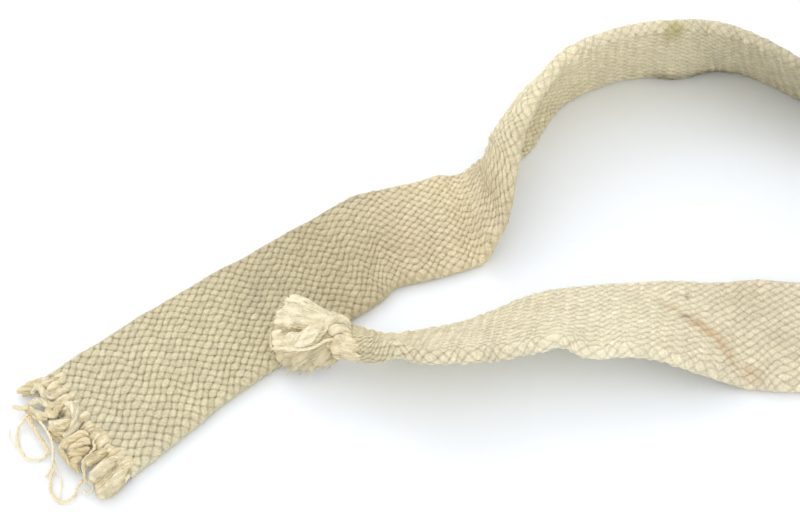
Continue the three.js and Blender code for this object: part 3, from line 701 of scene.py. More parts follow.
class Bundle:
    """Collects tubes into one mesh."""

    def __init__(self, name, slot):
        self.name, self.slot = name, slot
        self.parts, self.sizes, self.count = [], [], 0

    def skin(self, rings, tips, s, girth, tone, swing, seed):
        """Adds one tube from rings (n, sides, 3), closed by a point at each end."""
        n, sides = rings.shape[:2]
        j = np.arange(sides)
        k = (j + 1) % sides
        last = (n - 1) * sides
        tip = np.full(sides, n * sides)
        tris = np.vstack([np.stack([tip, j, k], 1), np.stack([tip + 1, last + k, last + j], 1)])
        # UV in mm, slit along the length; pack() places it later
        column = np.tile(j, n - 1)
        uv_quads = uv_boxes(column / sides * girth, np.repeat(s[:-1], sides),
                            (column + 1) / sides * girth, np.repeat(s[1:], sides))
        c, d = j / sides * girth, (j + 1) / sides * girth
        start, end, middle = np.zeros(sides), np.full(sides, s[-1]), (c + d) / 2
        uv_tris = np.vstack([np.stack([start - 0.05, middle, start, c, start, d], -1),
                             np.stack([end + 0.05, middle, end, d, end, c], -1)])
        tone = np.broadcast_to(tone, (n * sides, 3))
        yarn = np.stack([np.repeat(s, sides), swing, np.full(n * sides, seed)], 1)
        self.parts.append((np.vstack([rings.reshape(-1, 3), tips]),
                           ring_quads(n, sides)[:, ::-1] + self.count, tris + self.count,
                           uv_quads[:, ::-1, ::-1], uv_tris.reshape(-1, 3, 2),
                           np.vstack([tone, tone[:1], tone[-1:]]),
                           np.vstack([yarn, yarn[:1], yarn[-1:]])))
        self.sizes.append((s[-1] + 0.3, girth + 0.2))
        self.count += n * sides + 2

    def pack(self):
        """Corner of each tube's UV on shelves, and the size of the whole sheet, in mm."""
        area = sum(w * h for w, h in self.sizes)
        width = max(max(w for w, h in self.sizes), math.sqrt(area * 1.08))
        x = y = tall = 0.0
        corners = {}
        for k in sorted(range(len(self.sizes)), key=lambda k: -self.sizes[k][1]):
            w, h = self.sizes[k]
            if x + w > width * 1.0001:
                x, y, tall = 0.0, y + tall, 0.0
            corners[k] = (x + 0.15, y + 0.1)
            x, tall = x + w, max(tall, h)
        return corners, np.array([width, y + tall])

    def make(self, *nodes):
        corners, size = self.pack()
        verts, quads, tris, uv_quads, uv_tris, tone, yarn = zip(*self.parts)
        uv_quads, uv_tris = (np.concatenate([(uv + corners[k]) / size for k, uv in enumerate(uvs)])
                             for uvs in (uv_quads, uv_tris))
        ob = build(self.name, self.slot, np.vstack(verts), np.vstack(quads), np.vstack(tris),
                   uv_quads, uv_tris, np.vstack(tone), np.ones(self.count), np.vstack(yarn))
        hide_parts(*nodes)
        return ob

    def ride(self, body, *nodes):
        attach(self.make(*nodes), body)

    def tube(self, points, radius, tone, sides, seed, pinch=True):
        n = len(points)
        tangent, side, up = carry(points)
        r = np.broadcast_to(np.asarray(radius, float), (n,)).copy()
        if pinch:
            r[0] *= 0.55
            r[-1] *= 0.5
        angle = np.arange(sides) / sides * TAU
        cos, sin = np.cos(angle)[None, :, None], np.sin(angle)[None, :, None]
        rings = points[:, None] + (side[:, None] * cos + up[:, None] * sin) * r[:, None, None]
        tips = [points[0] - tangent[0] * r[0] * 0.6, points[-1] + tangent[-1] * r[-1] * 0.6]
        self.skin(rings, tips, run_lengths(points), TAU * r.mean(), tone,
                  np.tile(angle, n) * r.mean(), seed)

    def thread(self, points, radius, pitch, tone, wobble, seed):
        """A thread of two plies twisted round a path."""
        rng = np.random.default_rng(seed)
        spine = Spine(*path(points, 0.3))
        s = spine.s
        sway = np.zeros((len(s), 2))
        for k in range(2):
            for _ in range(3):
                sway[:, k] += rng.uniform(0.3, 1) * ripple(rng, s, 2.5, 9)
        spine.points = spine.points + (spine.side * sway[:, :1] + spine.up * sway[:, 1:]) * wobble
        ply = radius * 0.62
        start = rng.uniform(0, TAU)
        for k in range(2):
            rng.uniform(0.3, 1.6)       # a spare draw that keeps the later ones in step
            angle = start + k * TAU / 2 + TAU * s / pitch + 0.25 * ripple(rng, s, 3, 7)
            r = ply * (1 + 0.10 * ripple(rng, s, 1.5, 5))
            shade = tone * (1 + rng.uniform(-0.05, 0.05))
            self.tube(spine.wind(angle, radius - ply, radius - ply), r, shade, 6,
                      rng.uniform(0, 90))

    def lock(self, points, wide, high, tone, seed, root, tip, fibres, over, ridges=0.12,
             twist=0.0):
        """A lock of loosened fibre: a folded oval body under a skin of single fibres."""
        rng = np.random.default_rng(seed)
        points, s = path(points, 0.4)
        size = swell(s / s[-1], root, 0.35, tip, 0.35)
        body_seed = rng.uniform(0, 90)
        spine = Spine(points, run_lengths(points))
        s, f = spine.s, spine.f
        n, sides = len(points), 26
        angle = np.arange(sides) / sides * TAU
        turned = angle[None] + twist * TAU * f[:, None]
        folds = np.ones((n, sides))
        for _ in range(5):              # folds along the lock
            m = rng.integers(2, 7)
            folds += ridges * 0.45 * rng.uniform(0.4, 1) * np.sin(
                m * turned + rng.uniform(0, TAU) + TAU * s[:, None] / rng.uniform(9, 30))
        for _ in range(3):              # shorter swellings
            folds += ridges * 0.30 * np.sin(TAU * s[:, None] / rng.uniform(3, 8)
                                            + rng.uniform(0, TAU) + rng.integers(0, 3) * turned)
        reach = (folds * size[:, None])[..., None]
        rings = (points[:, None]
                 + spine.side[:, None] * (np.cos(angle) * wide)[None, :, None] * reach
                 + spine.up[:, None] * (np.sin(angle) * high)[None, :, None] * reach)
        rings[..., 2] = np.maximum(rings[..., 2], 0.05)
        blunt = 0.5 * min(wide, high)
        tips = [points[0] - spine.tangent[0] * blunt * size[0],
                points[-1] + spine.tangent[-1] * blunt * size[-1]]
        # painted shade: the valleys between the folds are coloured darker, most in blue
        valley = np.clip((1 - folds) / ridges, 0, 1).reshape(-1, 1)
        swing = np.tile(angle, n) + np.repeat(twist * TAU * f, sides)
        self.skin(rings, tips, s, math.pi * (wide + high),
                  tone * (1 - 0.10 * valley * np.array([1, 1.15, 1.5])),
                  swing * (wide + high) / 2, body_seed)
        for _ in range(fibres):
            a = rng.uniform(0, TAU)
            f0 = max(0.0, rng.uniform(-0.5, 0.55))
            f1 = min(1.0, f0 + rng.uniform(0.35, 0.9))
            k0 = int(f0 * (n - 1))
            k1 = min(max(int(f1 * (n - 1)), k0 + 4), n - 1)
            if k1 - k0 < 4:
                continue
            part = slice(k0, k1 + 1)
            angle = a + twist * TAU * f[part] + 0.25 * ripple(rng, s[part], 5, 14)
            lift = 1.0 + rng.uniform(-0.02, 0.07) + 0.03 * ripple(rng, s[part], 2, 6)
            line = spine.wind(angle, wide * size[part] * lift, high * size[part] * lift, part)
            if f1 >= 0.999:             # ragged past the tip, drooping
                m = int(rng.uniform(0.2, 1) * over / 0.4) + 1
                splay = spine.side[-1] * math.cos(a) + spine.up[-1] * math.sin(a)
                step = unit(spine.tangent[-1] + 0.35 * splay + rng.normal(0, 0.22, 3)) * 0.4
                droop = np.cumsum(np.tile([0, 0, -0.03], (m, 1)), 0)
                line = np.vstack([line, line[-1] + np.cumsum(np.tile(step, (m, 1)) + droop, 0)])
            line[:, 2] = np.maximum(line[:, 2], 0.15)
            self.tube(line, 0.11 * rng.uniform(0.7, 1.5), tone * (1 + rng.uniform(-0.10, 0.06)),
                      4, rng.uniform(0, 90))

    def yarn(self, points, radius, tone, seed, fibres=8, brush=0.5, blunt=False):
        """A soft low-twist yarn: three merged plies, stray fibres, and a brushed-out end."""
        rng = np.random.default_rng(seed)
        spine = Spine(*path(points, 0.3))
        s, f, n = spine.s, spine.f, len(spine.s)
        size = swell(f, 0.8, 0.2, 0.55, 0.18)
        if blunt:
            size = np.minimum(1, np.minimum(0.7 + 0.9 * f, 0.62 + 3.0 * (1 - f)))
            size = size * swell(f, 1, 1, 0.6, 0.08)
        start = rng.uniform(0, TAU)
        pitch = rng.uniform(9, 15) * radius
        for k in range(3):
            r = 0.40 * radius * size
            line = spine.wind(start + k * TAU / 3 + TAU * s / pitch, r, r)
            shade = tone * (1 + rng.uniform(-0.05, 0.05))
            self.tube(line, 0.66 * radius * size * (1 + 0.08 * ripple(rng, s, 2, 5)), shade, 10,
                      rng.uniform(0, 90), pinch=False)
        for _ in range(fibres):
            a = rng.uniform(0, TAU)
            k0 = int(rng.uniform(0, 0.6) * (n - 1))
            k1 = min(n - 1, k0 + max(5, int(rng.uniform(0.3, 0.8) * n)))
            if k1 - k0 < 4:
                continue
            part = slice(k0, k1 + 1)
            r = radius * size[part] * (1.02 + 0.1 * np.abs(ripple(rng, s[part], 3, 7)))
            line = spine.wind(a + TAU * s[part] / pitch, r, r, part)
            if k1 == n - 1:
                m = int(rng.uniform(0.3, 1) * brush / 0.3) + 1
                step = unit(spine.tangent[-1] + rng.normal(0, 0.35, 3)) * 0.3
                line = np.vstack([line, line[-1] + np.cumsum(np.tile(step, (m, 1)), 0)])
            line[:, 2] = np.maximum(line[:, 2], 0.12)
            self.tube(line, 0.08 * rng.uniform(0.7, 1.4), tone * (1 + rng.uniform(-0.14, 0.06)),
                      4, rng.uniform(0, 90))

    # Whole tables of threads, yarns or locks; the seed goes up by one from row to row.
    def threads(self, table, seed):
        for n, (radius, pitch, tone, wobble, points) in enumerate(table):
            self.thread(points, radius, pitch, tone, wobble, seed + n)

    def yarns(self, table, seed, **form):
        for n, (radius, tone, points) in enumerate(table):
            self.yarn(points, radius, tone, seed + n, **form)

    def locks(self, table, seed, **form):
        for n, (wide, high, tone, points) in enumerate(table):
            self.lock(points, wide, high, tone, seed + n, **form)


CREAM, WARM, PALE = srgb(248, 237, 205), srgb(246, 231, 191), srgb(245, 235, 205)
# DEEP and TAN are yarn tints; the other two colours here are cream in painted shade, for the tufts
# that lie underneath
DEEP, CREAM_IN_SHADE = srgb(239, 221, 180), srgb(206, 193, 160)
CREAM_HALF_SHADE, TAN = srgb(219, 207, 174), srgb(238, 224, 188)

# ---- fringe at the cut end ------------------------------------------------
# Yarns curled back over the cut: radius, colour, path.
CURLED_YARNS = [
    (0.95, WARM, [[-100.4, -50.1, 3.6], [-102.4, -49.3, 3.6], [-104.3, -49.7, 3.2],
                  [-106.3, -49.8, 2.4], [-108.4, -49.9, 1.6]]),
    (0.8, DEEP, [[-100.4, -50.4, 2.2], [-103, -49.8, 2], [-105.1, -50.3, 1.6],
                 [-106.7, -50.7, 1.2]]),
    (0.85, WARM, [[-95.5, -45.5, 3.8], [-97.5, -46.5, 3.6], [-99.1, -48.2, 3.2],
                  [-101.8, -47.4, 2.6], [-104.7, -47.3, 1.8]]),
    (0.85, CREAM, [[-103.6, -51.3, 2.6], [-102.8, -50.1, 3.6], [-100.7, -51, 4.6],
                   [-99.1, -53.3, 4.8], [-97.4, -54.1, 4.6], [-96.3, -52.3, 4.2],
                   [-95.9, -50.4, 3.6]]),
    (0.75, PALE, [[-100.1, -49.3, 3.4], [-98.2, -50.8, 4.2], [-98.1, -52.4, 4.4],
                  [-99.6, -51.7, 4.2]]),
    (0.9, CREAM, [[-94.2, -54.4, 3.6], [-95.1, -56.2, 4.6], [-96.6, -56.7, 4.8],
                  [-98.7, -55.5, 4.4], [-101.3, -54.4, 3.6], [-103.6, -54.7, 2.6]]),
    (0.95, WARM, [[-94.2, -56.6, 3.8], [-94.6, -58.3, 5], [-95.3, -59.8, 5.2],
                  [-96.8, -59, 5], [-96.8, -57.7, 4.8], [-95.7, -57.3, 4.8]]),
    (0.85, CREAM, [[-94.7, -59.5, 3.6], [-97.5, -58.8, 3.4], [-99.9, -58.1, 2.8],
                   [-102.5, -56.6, 2.2], [-104.5, -54.9, 2]]),
    (0.85, WARM, [[-97.5, -59.5, 2.6], [-99.8, -59.3, 2.2], [-102.4, -57.7, 1.6],
                  [-104.4, -56.1, 1.4]]),
    (1.05, PALE, [[-92.8, -55.7, 4.2], [-91, -56.9, 5], [-89.4, -59.1, 5.4],
                  [-88.8, -61.8, 5.4], [-88.8, -64.3, 5.2], [-89.8, -65.8, 4.8],
                  [-91.2, -65.5, 4.2]]),
    (0.8, CREAM, [[-91.9, -55.1, 3.8], [-89.1, -57.7, 4.6], [-88.3, -60.7, 4.6],
                  [-88.1, -63.3, 4.4]]),
    (1.0, CREAM, [[-90.3, -60.4, 4], [-91.7, -61.5, 4.6], [-93.9, -62.2, 4.4],
                  [-96.3, -61.5, 3.6]]),
    (0.95, WARM, [[-90, -62, 3.8], [-91.7, -63.1, 4.2], [-93.8, -63.4, 3.8], [-96.3, -62.6, 3]]),
    (0.85, WARM, [[-90.6, -63.7, 3.2], [-92.8, -64.2, 3], [-95.2, -63.6, 2.2],
                  [-96.9, -62.5, 1.6]]),
    (0.8, DEEP, [[-90, -66, 2.6], [-92.3, -65.7, 2], [-94.7, -64.7, 1.4], [-96.5, -63.4, 1.2]]),
    (1.15, WARM, [[-85, -65.9, 4.4], [-86.3, -66.2, 5.4], [-87.9, -67.6, 5.6],
                  [-89.7, -68.3, 5], [-90.4, -69.5, 4.2]]),
    (1.15, WARM, [[-84.1, -68, 4.6], [-85.2, -68.6, 5.6], [-86.9, -70.1, 5.8],
                  [-88.4, -70.7, 5.2]]),
    (1.1, DEEP, [[-84.1, -69.8, 4.2], [-85.1, -71.2, 5.2], [-86.7, -71.5, 5.2],
                 [-88.4, -71.6, 4.4]]),
    (0.9, WARM, [[-90.1, -66.7, 3.8], [-91.3, -68.2, 3.4], [-91.1, -70.3, 3],
                 [-89.1, -72.4, 2.8], [-87.1, -74.2, 2.4], [-85.8, -75.5, 1.8]]),
    (1.0, DEEP, [[-85.2, -72.5, 4.4], [-86.5, -72.9, 4.2], [-87.2, -73.9, 3.4],
                 [-86.1, -75.1, 2.6]]),
]
# Blunt tufts: radius, colour, path.
CUT_TUFTS = [
    (1.35, WARM, [[-79.1, -70.1, 3.8], [-79.8, -71.7, 4.6], [-81.5, -73.2, 4.8],
                  [-83.4, -74.5, 4.2]]),
    (1.75, CREAM, [[-76.4, -72.6, 3.6], [-77.5, -74.8, 4.6], [-79.3, -77.2, 4.9],
                   [-81.3, -79.1, 4.2]]),
    (1.3, DEEP, [[-77.2, -75.3, 3.4], [-78.5, -77.4, 3.8], [-80.2, -79.5, 3]]),
    (1.45, WARM, [[-75.4, -76, 3.2], [-76.7, -78.1, 3.6], [-78.1, -80.1, 3.2],
                  [-79.5, -81.6, 2.4]]),
    (1.65, CREAM, [[-73.2, -75.5, 3.4], [-74.1, -77, 4], [-75.2, -79.2, 4],
                   [-76.7, -81.2, 3.2], [-79.1, -82.8, 2.2]]),
    (1.3, WARM, [[-73.6, -76.3, 2.2], [-74.4, -78.5, 2.2], [-76.1, -80.7, 1.8],
                 [-78.3, -82.4, 1.4]]),
]
SHORT_STRAND = [[-103.5, -55.9, 2.6], [-105.4, -56.1, 2.4], [-107.1, -55.7, 2.2], [-108.3, -55.1, 2]]
SIDE_STRAND = [[-99.4, -48, 2.4], [-101.6, -46.6, 2], [-104.4, -46.9, 1.6], [-106.8, -48.4, 1.4]]
# Threads: radius, pitch of the twist, colour, wobble, path.
FRINGE_THREADS = [
    (0.5, 3.0, CREAM, 0.08, [[-83.1, -67.5, 4.2], [-82.1, -69.7, 4.6], [-82.9, -71.4, 4.6],
                             [-84.2, -72.7, 4.4], [-84.6, -74.3, 3.6], [-84.4, -76, 2.8]]),
    (0.5, 3.0, WARM, 0.08, [[-82.7, -71.5, 4.2], [-83.7, -73.2, 4.2], [-84.2, -75.3, 3.4],
                            [-83.7, -77.5, 2.4], [-83.2, -78.5, 1.8]]),
]
LOOPED_THREADS = [
    (0.46, 2.2, WARM, 0.10, [[-92.6, -74.3, 1.6], [-93.4, -75.7, 1.2], [-93.1, -79.1, 0.7],
                             [-91.4, -82.3, 0.6], [-89.5, -83.9, 0.6], [-87.4, -83.3, 0.7],
                             [-86, -81.6, 0.9], [-85.1, -79.4, 1.4], [-84.8, -77.8, 2]]),
    (0.22, 1.6, CREAM, 0.10, [[-93.6, -71.7, 1.6], [-92, -74.9, 1.2], [-90.3, -77.5, 0.8],
                              [-90, -80.4, 0.6], [-90, -83.4, 0.6]]),
    (0.34, 1.8, PALE, 0.10, [[-84, -79.1, 1.2], [-83.5, -78.2, 1.6], [-81.8, -79.1, 1.8],
                             [-81.2, -80.3, 1.5], [-81.8, -81.2, 1.2], [-83, -81.4, 1],
                             [-83.9, -80.3, 1]]),
]
PULLED_THREADS = [
    (0.42, 2.4, WARM, 0.14, [[-103.3, -58, 2.6], [-104.6, -60.2, 1.8], [-105.8, -62.3, 0.8],
                             [-105.2, -65.4, 0.6], [-103.3, -68.6, 0.6], [-101.2, -71, 0.6],
                             [-98.8, -71.3, 0.6], [-96.8, -70.7, 0.8], [-96.1, -68.8, 1.4],
                             [-96.5, -67.4, 2]]),
    (0.24, 1.8, CREAM, 0.10, [[-107.9, -61.9, 0.6], [-107.6, -64.3, 0.6], [-105.7, -66.6, 0.6],
                              [-103.8, -68.2, 0.8]]),
    (0.52, 2.6, DEEP, 0.12, [[-103.8, -59, 2.8], [-102.2, -60.7, 2.6], [-99.8, -63.5, 2.4],
                             [-97.7, -66.4, 2.2], [-96.1, -68.4, 1.8], [-95, -70, 1.5]]),
    (0.40, 2.2, WARM, 0.14, [[-103.3, -58.7, 2.2], [-101.5, -61.1, 1.8], [-99.4, -64, 1.6],
                             [-97.4, -66.5, 1.4]]),
    (0.44, 2.4, PALE, 0.12, [[-99.2, -60.6, 3.4], [-97.4, -62.8, 3.2], [-95.6, -65.4, 3],
                             [-94.2, -68.3, 2.6], [-93.6, -71.4, 2], [-93.9, -74.2, 1.4],
                             [-95, -76.6, 0.8]]),
]
CUT_START, CUT_END = STRAND_A.stations[0, :2], STRAND_A.stations[0, 3:5]
CUT_LENGTH = float(np.linalg.norm(CUT_END - CUT_START))
CUT_ALONG = (CUT_END - CUT_START) / CUT_LENGTH
CUT_OUT = np.array([CUT_ALONG[1], -CUT_ALONG[0]])


def at_cut(along, out, z):
    """A point by its place along the cut, how far past it, and its height."""
    return [*(CUT_START + CUT_ALONG * along + CUT_OUT * out), z]


def fringe_loops():
    rng = np.random.default_rng(5)
    loops = Bundle("fringe_loops", "cotton_yarn")
    loops.yarns(CURLED_YARNS, 100, fibres=26)
    for n in range(30):         # yarns that bend over the cut from the last rows of the braid
        v = CUT_LENGTH * (n + 0.5 + rng.uniform(-0.35, 0.35)) / 30
        if v > CUT_LENGTH * 0.97 or v < 1.2:
            continue
        lean = rng.uniform(-0.9, 0.9)
        back = rng.uniform(1.2, 3.4)
        points = [at_cut(v - lean * 0.8, -back, 3.5), at_cut(v - lean * 0.4, -back * 0.5, 4.3),
                  at_cut(v, 0.3, 4.1 + rng.uniform(-0.3, 0.3)), at_cut(v + lean * 0.6, 1.3, 3.1),
                  at_cut(v + lean, rng.uniform(1.7, 2.6), 2.0)]
        loops.yarn(points, rng.uniform(0.75, 1.05), [WARM, CREAM, TAN, CREAM][n % 4], 260 + n,
                   fibres=12)
    for n in range(34):         # short stubs that hide the clean edge of the braid
        v = CUT_LENGTH * (n + 0.5 + rng.uniform(-0.3, 0.3)) / 34
        if v > CUT_LENGTH * 0.985:
            continue
        z = rng.uniform(0.9, 3.1)
        length = rng.uniform(1.2, 3.2) * (1.0 if v < 28 else 1.5)
        lean = rng.uniform(-1.4, 1.4)
        points = [at_cut(v, -2.2, z + 0.2), at_cut(v + lean * 0.3, 0.4, z + 0.5),
                  at_cut(v + lean * 0.8, length * 0.7, z + 0.1),
                  at_cut(v + lean * 1.4, length, max(0.7, z - 0.8))]
        loops.yarn(points, rng.uniform(0.55, 0.85), [WARM, CREAM, DEEP, WARM][n % 4], 140 + n,
                   fibres=4)
    loops.threads(FRINGE_THREADS, 190)
    loops.ride("end_a_tip", *[f"end_a_yarn_loop_{i}" for i in range(1, 7)])


def fringe():
    fringe_loops()
    tufts = Bundle("fringe_cut_tufts", "cotton_yarn")
    tufts.yarns(CUT_TUFTS, 200, fibres=60, brush=1.0, blunt=True)
    tufts.ride("end_a_tip", *[f"end_a_cut_tuft_{i}" for i in (1, 2, 3)])
    short = Bundle("fringe_short_strand", "cotton_yarn")
    short.yarn(SHORT_STRAND, 0.6, WARM, 300, fibres=5, brush=0.6)
    short.ride("end_a_tip", "end_a_short_strand")
    side = Bundle("fringe_side_strand", "cotton_yarn")
    side.yarn(SIDE_STRAND, 0.8, WARM, 310, fibres=6, brush=0.8)
    side.ride("end_a_tip", "end_a_side_strand")
    loop = Bundle("fringe_thread_loop", "raw_fibre")
    loop.threads(LOOPED_THREADS, 320)
    loop.ride("end_a_tip", "loose_thread_loop")
    pulled = Bundle("pulled_threads", "raw_fibre")
    pulled.threads(PULLED_THREADS, 330)
    pulled.ride("loose_threads", *[f"loose_thread_{i}" for i in (1, 2, 3)])


# ---- collar and tassel at the gathered end --------------------------------
# Locks: half width, half height, colour, path.
COLLAR_LOCKS = [
    (1.5, 1.2, PALE, [[-15, -33, 11], [-17.1, -32.6, 12.4], [-19.6, -32.2, 13.2],
                      [-21.8, -32.2, 13.4]]),
    (1.5, 1.3, PALE, [[-14.5, -35.5, 12.5], [-15.8, -34.5, 14], [-17.9, -34.3, 15],
                      [-19.7, -35.8, 15.4], [-20.6, -37.3, 14.6], [-20.4, -38.5, 13.4],
                      [-19.1, -39, 12.8]]),
    (1.8, 1.5, PALE, [[-14.1, -36.1, 12], [-15.2, -37.3, 13], [-16.8, -37.7, 14.5],
                      [-18.5, -38.3, 15], [-19.6, -39, 14.4]]),
    (1.5, 1.5, CREAM, [[-14.7, -37.6, 11.5], [-15.5, -38.9, 13], [-16.2, -40.3, 13.4],
                       [-16.6, -41.5, 12.4], [-16.5, -41.8, 10.6]]),
    (1.1, 1.0, CREAM, [[-14.5, -38.5, 10.8], [-14.8, -39.9, 11.5], [-15.2, -40.9, 11],
                       [-15.8, -41.3, 9.6]]),
    (1.7, 1.5, CREAM, [[-15.7, -40.2, 8], [-17.6, -41.3, 7.6], [-19.3, -40.5, 8.4],
                       [-20.2, -39.3, 9.4]]),
]
# lower tufts: the darker creams among them are painted shade
LOWER_LOCKS = [
    (2.6, 2.4, CREAM, [[-20.2, -38.2, 11], [-23.8, -40.7, 12], [-28.3, -40.8, 11.5],
                       [-32.7, -38.9, 9.5], [-36, -36.5, 7.4]]),
    (2.4, 2.4, CREAM, [[-20.2, -38.8, 10], [-23.8, -41.2, 10.8], [-28.4, -41.2, 10.4],
                       [-32.2, -39.7, 8.6], [-35.4, -38.1, 6.6]]),
    (2.1, 2.0, CREAM_HALF_SHADE, [[-19.4, -39.6, 9.5], [-23.9, -41.3, 9.5], [-29.3, -41.3, 8.2],
                     [-33.2, -40.9, 6.4], [-35, -41.3, 5.2]]),
    (1.9, 1.9, CREAM_IN_SHADE, [[-19.4, -39.7, 9], [-23.9, -41.7, 9.2], [-28.5, -42.1, 7.8],
                      [-31.7, -42.3, 6], [-33.5, -42.5, 4.6]]),
    (1.9, 1.8, CREAM_HALF_SHADE, [[-19.3, -39.9, 8.6], [-23.2, -42, 8.6], [-27, -42.8, 7.4],
                     [-29.5, -43.4, 5.6], [-30.9, -44.3, 4.2]]),
    (1.8, 1.7, CREAM_IN_SHADE, [[-18.9, -40.1, 8.2], [-22.1, -42, 8], [-25.1, -43, 7],
                      [-27.1, -43.5, 5.4], [-28.2, -44.2, 4.4]]),
    (1.7, 1.6, CREAM_HALF_SHADE, [[-18.5, -40.2, 8], [-20.9, -42, 7.6], [-23.2, -42.9, 6.6],
                     [-24.8, -43.7, 5.4], [-25.8, -44.4, 4.4]]),
    (1.6, 1.5, CREAM_HALF_SHADE, [[-18.1, -40.4, 8], [-19.8, -41.6, 7.4], [-21.4, -42.5, 6.4],
                     [-22.5, -43.3, 5.2]]),
    (1.5, 1.4, CREAM_IN_SHADE, [[-17.6, -40.7, 8], [-18.5, -41.5, 7.2], [-19.5, -42.2, 6.2],
                      [-20.3, -42.6, 5.2]]),
    (2.0, 1.9, CREAM_HALF_SHADE, [[-21.1, -40.7, 12], [-23.2, -42.9, 12.5], [-25.9, -44, 11.5],
                     [-28.3, -44.1, 9], [-30, -44, 6.8]]),
    (1.8, 1.8, CREAM_HALF_SHADE, [[-20, -41.4, 11], [-21.4, -43.2, 11], [-23, -43.8, 9.6],
                     [-24.4, -44.1, 7.6]]),
]
UPPER_LOCKS = [
    (2.0, 1.5, PALE, [[-18, -33.8, 13], [-20.7, -33.6, 15], [-25.2, -31.4, 15.5],
                      [-28.5, -27.8, 14], [-31.7, -23.8, 11.5]]),
    (2.2, 1.5, PALE, [[-18.3, -34, 13], [-21.2, -34.5, 15.2], [-25.4, -32.9, 16],
                      [-29.2, -29.4, 14.5], [-32.8, -25.1, 11.5]]),
    (2.4, 1.6, PALE, [[-18.3, -34.5, 13], [-21.6, -35.2, 15], [-26.1, -34.1, 16],
                      [-30, -30.8, 14.5], [-33.3, -28.1, 11.5]]),
    (2.5, 1.7, PALE, [[-18.5, -34.9, 13], [-21.9, -35.9, 15], [-26.9, -34.7, 15.6],
                      [-31, -32, 13.8], [-35, -28.9, 10.5]]),
    (2.4, 1.6, CREAM, [[-18.7, -35.4, 13], [-22.3, -36.3, 14.5], [-26.5, -35.5, 15],
                       [-30.5, -33.9, 13.5], [-35.7, -30.7, 9.5]]),
    # painted shade: this lock takes the darker, shaded cream
    (2.6, 2.2, CREAM_IN_SHADE, [[-18.9, -35.5, 12.5], [-22.6, -36.1, 13], [-26.6, -35.6, 12.6],
                      [-31, -34.7, 11.4], [-36.2, -32.6, 8.5]]),
    (2.6, 2.4, CREAM, [[-19.4, -36.5, 12], [-23.2, -37, 12], [-27.8, -36.4, 11.2],
                       [-32.2, -35.7, 9.8], [-36.3, -34.3, 7.6]]),
]
TWISTED_LOCKS = [
    (2.15, 1.8, PALE, [[-21.2, -37, 14.5], [-22.5, -38.8, 16], [-24.2, -40.6, 17],
                       [-26.3, -42.5, 17], [-27.8, -43.1, 16], [-28.9, -42.6, 15]]),
    (1.9, 1.7, CREAM, [[-21.9, -37.8, 14], [-23.9, -40.7, 15.2], [-26, -42.8, 15.5],
                       [-28, -42.7, 14.5]]),
    (1.5, 1.3, PALE, [[-27.4, -39.6, 14], [-28.9, -40.2, 14.2], [-30.4, -39.9, 13.8],
                      [-31.6, -39.2, 13]]),
]
BINDING = [[-35.5, -40.2, 9], [-34.4, -41.2, 10.5], [-31.5, -43.7, 13.8], [-28.5, -45, 15.2],
           [-25.5, -45.4, 15.8], [-23.3, -44.4, 15.8], [-21.2, -42.5, 15.4],
           [-19.5, -41.5, 14.8], [-17.8, -40.7, 14]]
# Columns as for the fringe's threads.
TASSEL_THREADS = [
    (0.42, 2.2, PALE, 0.05, [[-35.6, -31, 10], [-36.5, -31.1, 8.5], [-37.2, -32.6, 7.2],
                             [-37.4, -34.9, 6.4], [-37.3, -36.6, 6.2], [-36.6, -38.4, 6.4],
                             [-35.8, -39, 7], [-35.6, -37.6, 7], [-36.2, -36.3, 6.8],
                             [-36.7, -36.9, 6.6]]),
    (0.38, 2.2, CREAM, 0.06, [[-35.9, -38.8, 6.6], [-35.5, -39.2, 5.6], [-34.9, -40.7, 5],
                              [-34.2, -41.9, 4.8], [-33.1, -42.8, 4.8]]),
]


def collar():
    """The turned-over roll of loosened braid round the neck."""
    roll = Bundle("gathered_collar", "cotton_yarn")
    roll.lock([[-13.6, -39.4, 10.8], [-16, -39, 11], [-19, -38.4, 11.2], [-21.6, -38, 11]],
              4.6, 3.6, CREAM, 400, root=0.9, tip=0.8, fibres=60, over=0.3)
    rng = np.random.default_rng(77)
    long_axis, short_axis = np.array([0, -0.84, 0.54]), np.array([0, 0.54, 0.84])

    def neck(x, off):
        return np.array([x, -39.3 - 0.25 * (x + 14), 10.8]) + off

    for n, side in enumerate((-1, 1)):      # fills the two sides of the roll
        points = [neck(x, long_axis * side * q)
                  for x, q in ((-13.2, 4.8), (-15.4, 4.5), (-16.9, 3.9), (-18.4, 3.2))]
        roll.lock(points, 3.3, 3.0, TAN, 396 + n, root=0.95, tip=0.6, fibres=24, over=0.2)
    for n in range(54):                     # yarns all round the neck
        angle = (n + rng.uniform(-0.4, 0.4)) / 54 * TAU
        ring = long_axis * math.cos(angle) * 9.3 + short_axis * math.sin(angle) * 3.55
        xs = [-16.6, -14.9, -13.6, -11.9 + rng.uniform(-1.0, 1.3)]
        points = [neck(x, ring * q) for x, q in zip(xs, (0.74, 0.98, 0.97, 0.84))]
        roll.yarn(points, rng.uniform(0.42, 0.66), (TAN, TAN, CREAM)[n % 3], 480 + n,
                  fibres=3, brush=0.3)
    roll.locks(COLLAR_LOCKS, 402, root=0.8, tip=0.75, fibres=16, over=0.3, ridges=0.09)
    roll.ride("end_b", "end_b_collar")


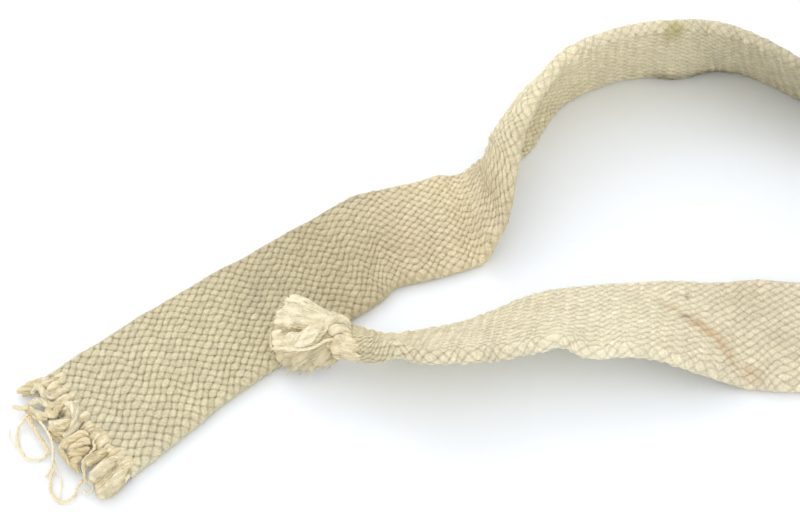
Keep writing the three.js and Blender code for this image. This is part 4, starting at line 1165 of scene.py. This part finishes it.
def tassel():
    lower = Bundle("tassel_lower_tufts", "raw_fibre")
    lower.locks(LOWER_LOCKS, 420, root=0.7, tip=0.42, fibres=46, over=1.8, ridges=0.14)
    lower.ride("tassel", *[f"tassel_lower_tuft_{i}" for i in range(1, 5)])
    upper = Bundle("tassel_upper_tufts", "raw_fibre")
    upper.locks(UPPER_LOCKS, 440, root=0.62, tip=0.5, fibres=56, over=1.6)
    upper.locks(TWISTED_LOCKS, 450, root=0.7, tip=0.6, fibres=40, over=0.6, ridges=0.10,
                twist=0.5)
    upper.ride("tassel", *[f"tassel_upper_tuft_{i}" for i in range(1, 4)])
    binding = Bundle("tassel_binding", "raw_fibre")
    binding.thread(BINDING, 0.52, 2.6, PALE, 0.05, 460)
    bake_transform(binding.make("tassel_binding_thread"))
    loop = Bundle("tassel_loop", "raw_fibre")
    loop.threads(TASSEL_THREADS, 470)
    loop.ride("tassel", "tassel_thread_loop")


fringe()
collar()
tassel()


# ---- stage, light and camera, in metres in the row frame ------------------
def stage_floor(half=6.0, z=-0.0001):
    mesh = bpy.data.meshes.new("stage_floor")
    corners = [(-half, -half, z), (half, -half, z), (half, half, z), (-half, half, z)]
    mesh.from_pydata(corners, [], [(0, 1, 2, 3)])
    floor = bpy.data.objects.new("stage_floor", mesh)
    bpy.context.scene.collection.objects.link(floor)
    material = bpy.data.materials.new("stage_floor")
    material.use_nodes = True
    inputs = material.node_tree.nodes["Principled BSDF"].inputs
    inputs["Base Color"].default_value = (0.90, 0.935, 0.98, 1)
    inputs["Roughness"].default_value = 0.7
    inputs["Specular IOR Level"].default_value = 0.2
    mesh.materials.append(material)


def aimed(name, data, place, target):
    """Adds a light or camera at place, turned towards target."""
    ob = bpy.data.objects.new(name, data)
    bpy.context.scene.collection.objects.link(ob)
    ob.location = place
    ob.rotation_mode = "QUATERNION"
    ob.rotation_quaternion = (Vector(target) - Vector(place)).to_track_quat("-Z", "Y")
    return ob


def area(name, place, target, size, watts):
    light = bpy.data.lights.new(name, "AREA")
    light.shape = "SQUARE"
    light.size = size
    light.energy = watts
    aimed(name, light, place, target)


stage_floor()
scene = bpy.context.scene
scene.world = bpy.data.worlds.new("studio")
scene.world.use_nodes = True
background = scene.world.node_tree.nodes["Background"]
background.inputs["Color"].default_value = (1, 1, 1, 1)
background.inputs["Strength"].default_value = 1.10
area("key", place=(-0.55, 0.75, 0.85), target=(-0.08, 0, 0), size=0.55, watts=1.9)
area("fill", place=(-0.35, -0.95, 0.55), target=(-0.05, 0, 0), size=0.9, watts=1.1)

lens = bpy.data.cameras.new("camera")
lens.lens = 46.6
lens.sensor_width = 36.0
lens.clip_start, lens.clip_end = 0.01, 20
scene.camera = aimed("camera", lens, place=(-0.0942, -0.2146, 0.2505),
                     target=(-0.0942, -0.0044, 0.0))    # the plan frame's origin
scene.view_settings.view_transform = "Standard"

bpy.context.view_layer.update()
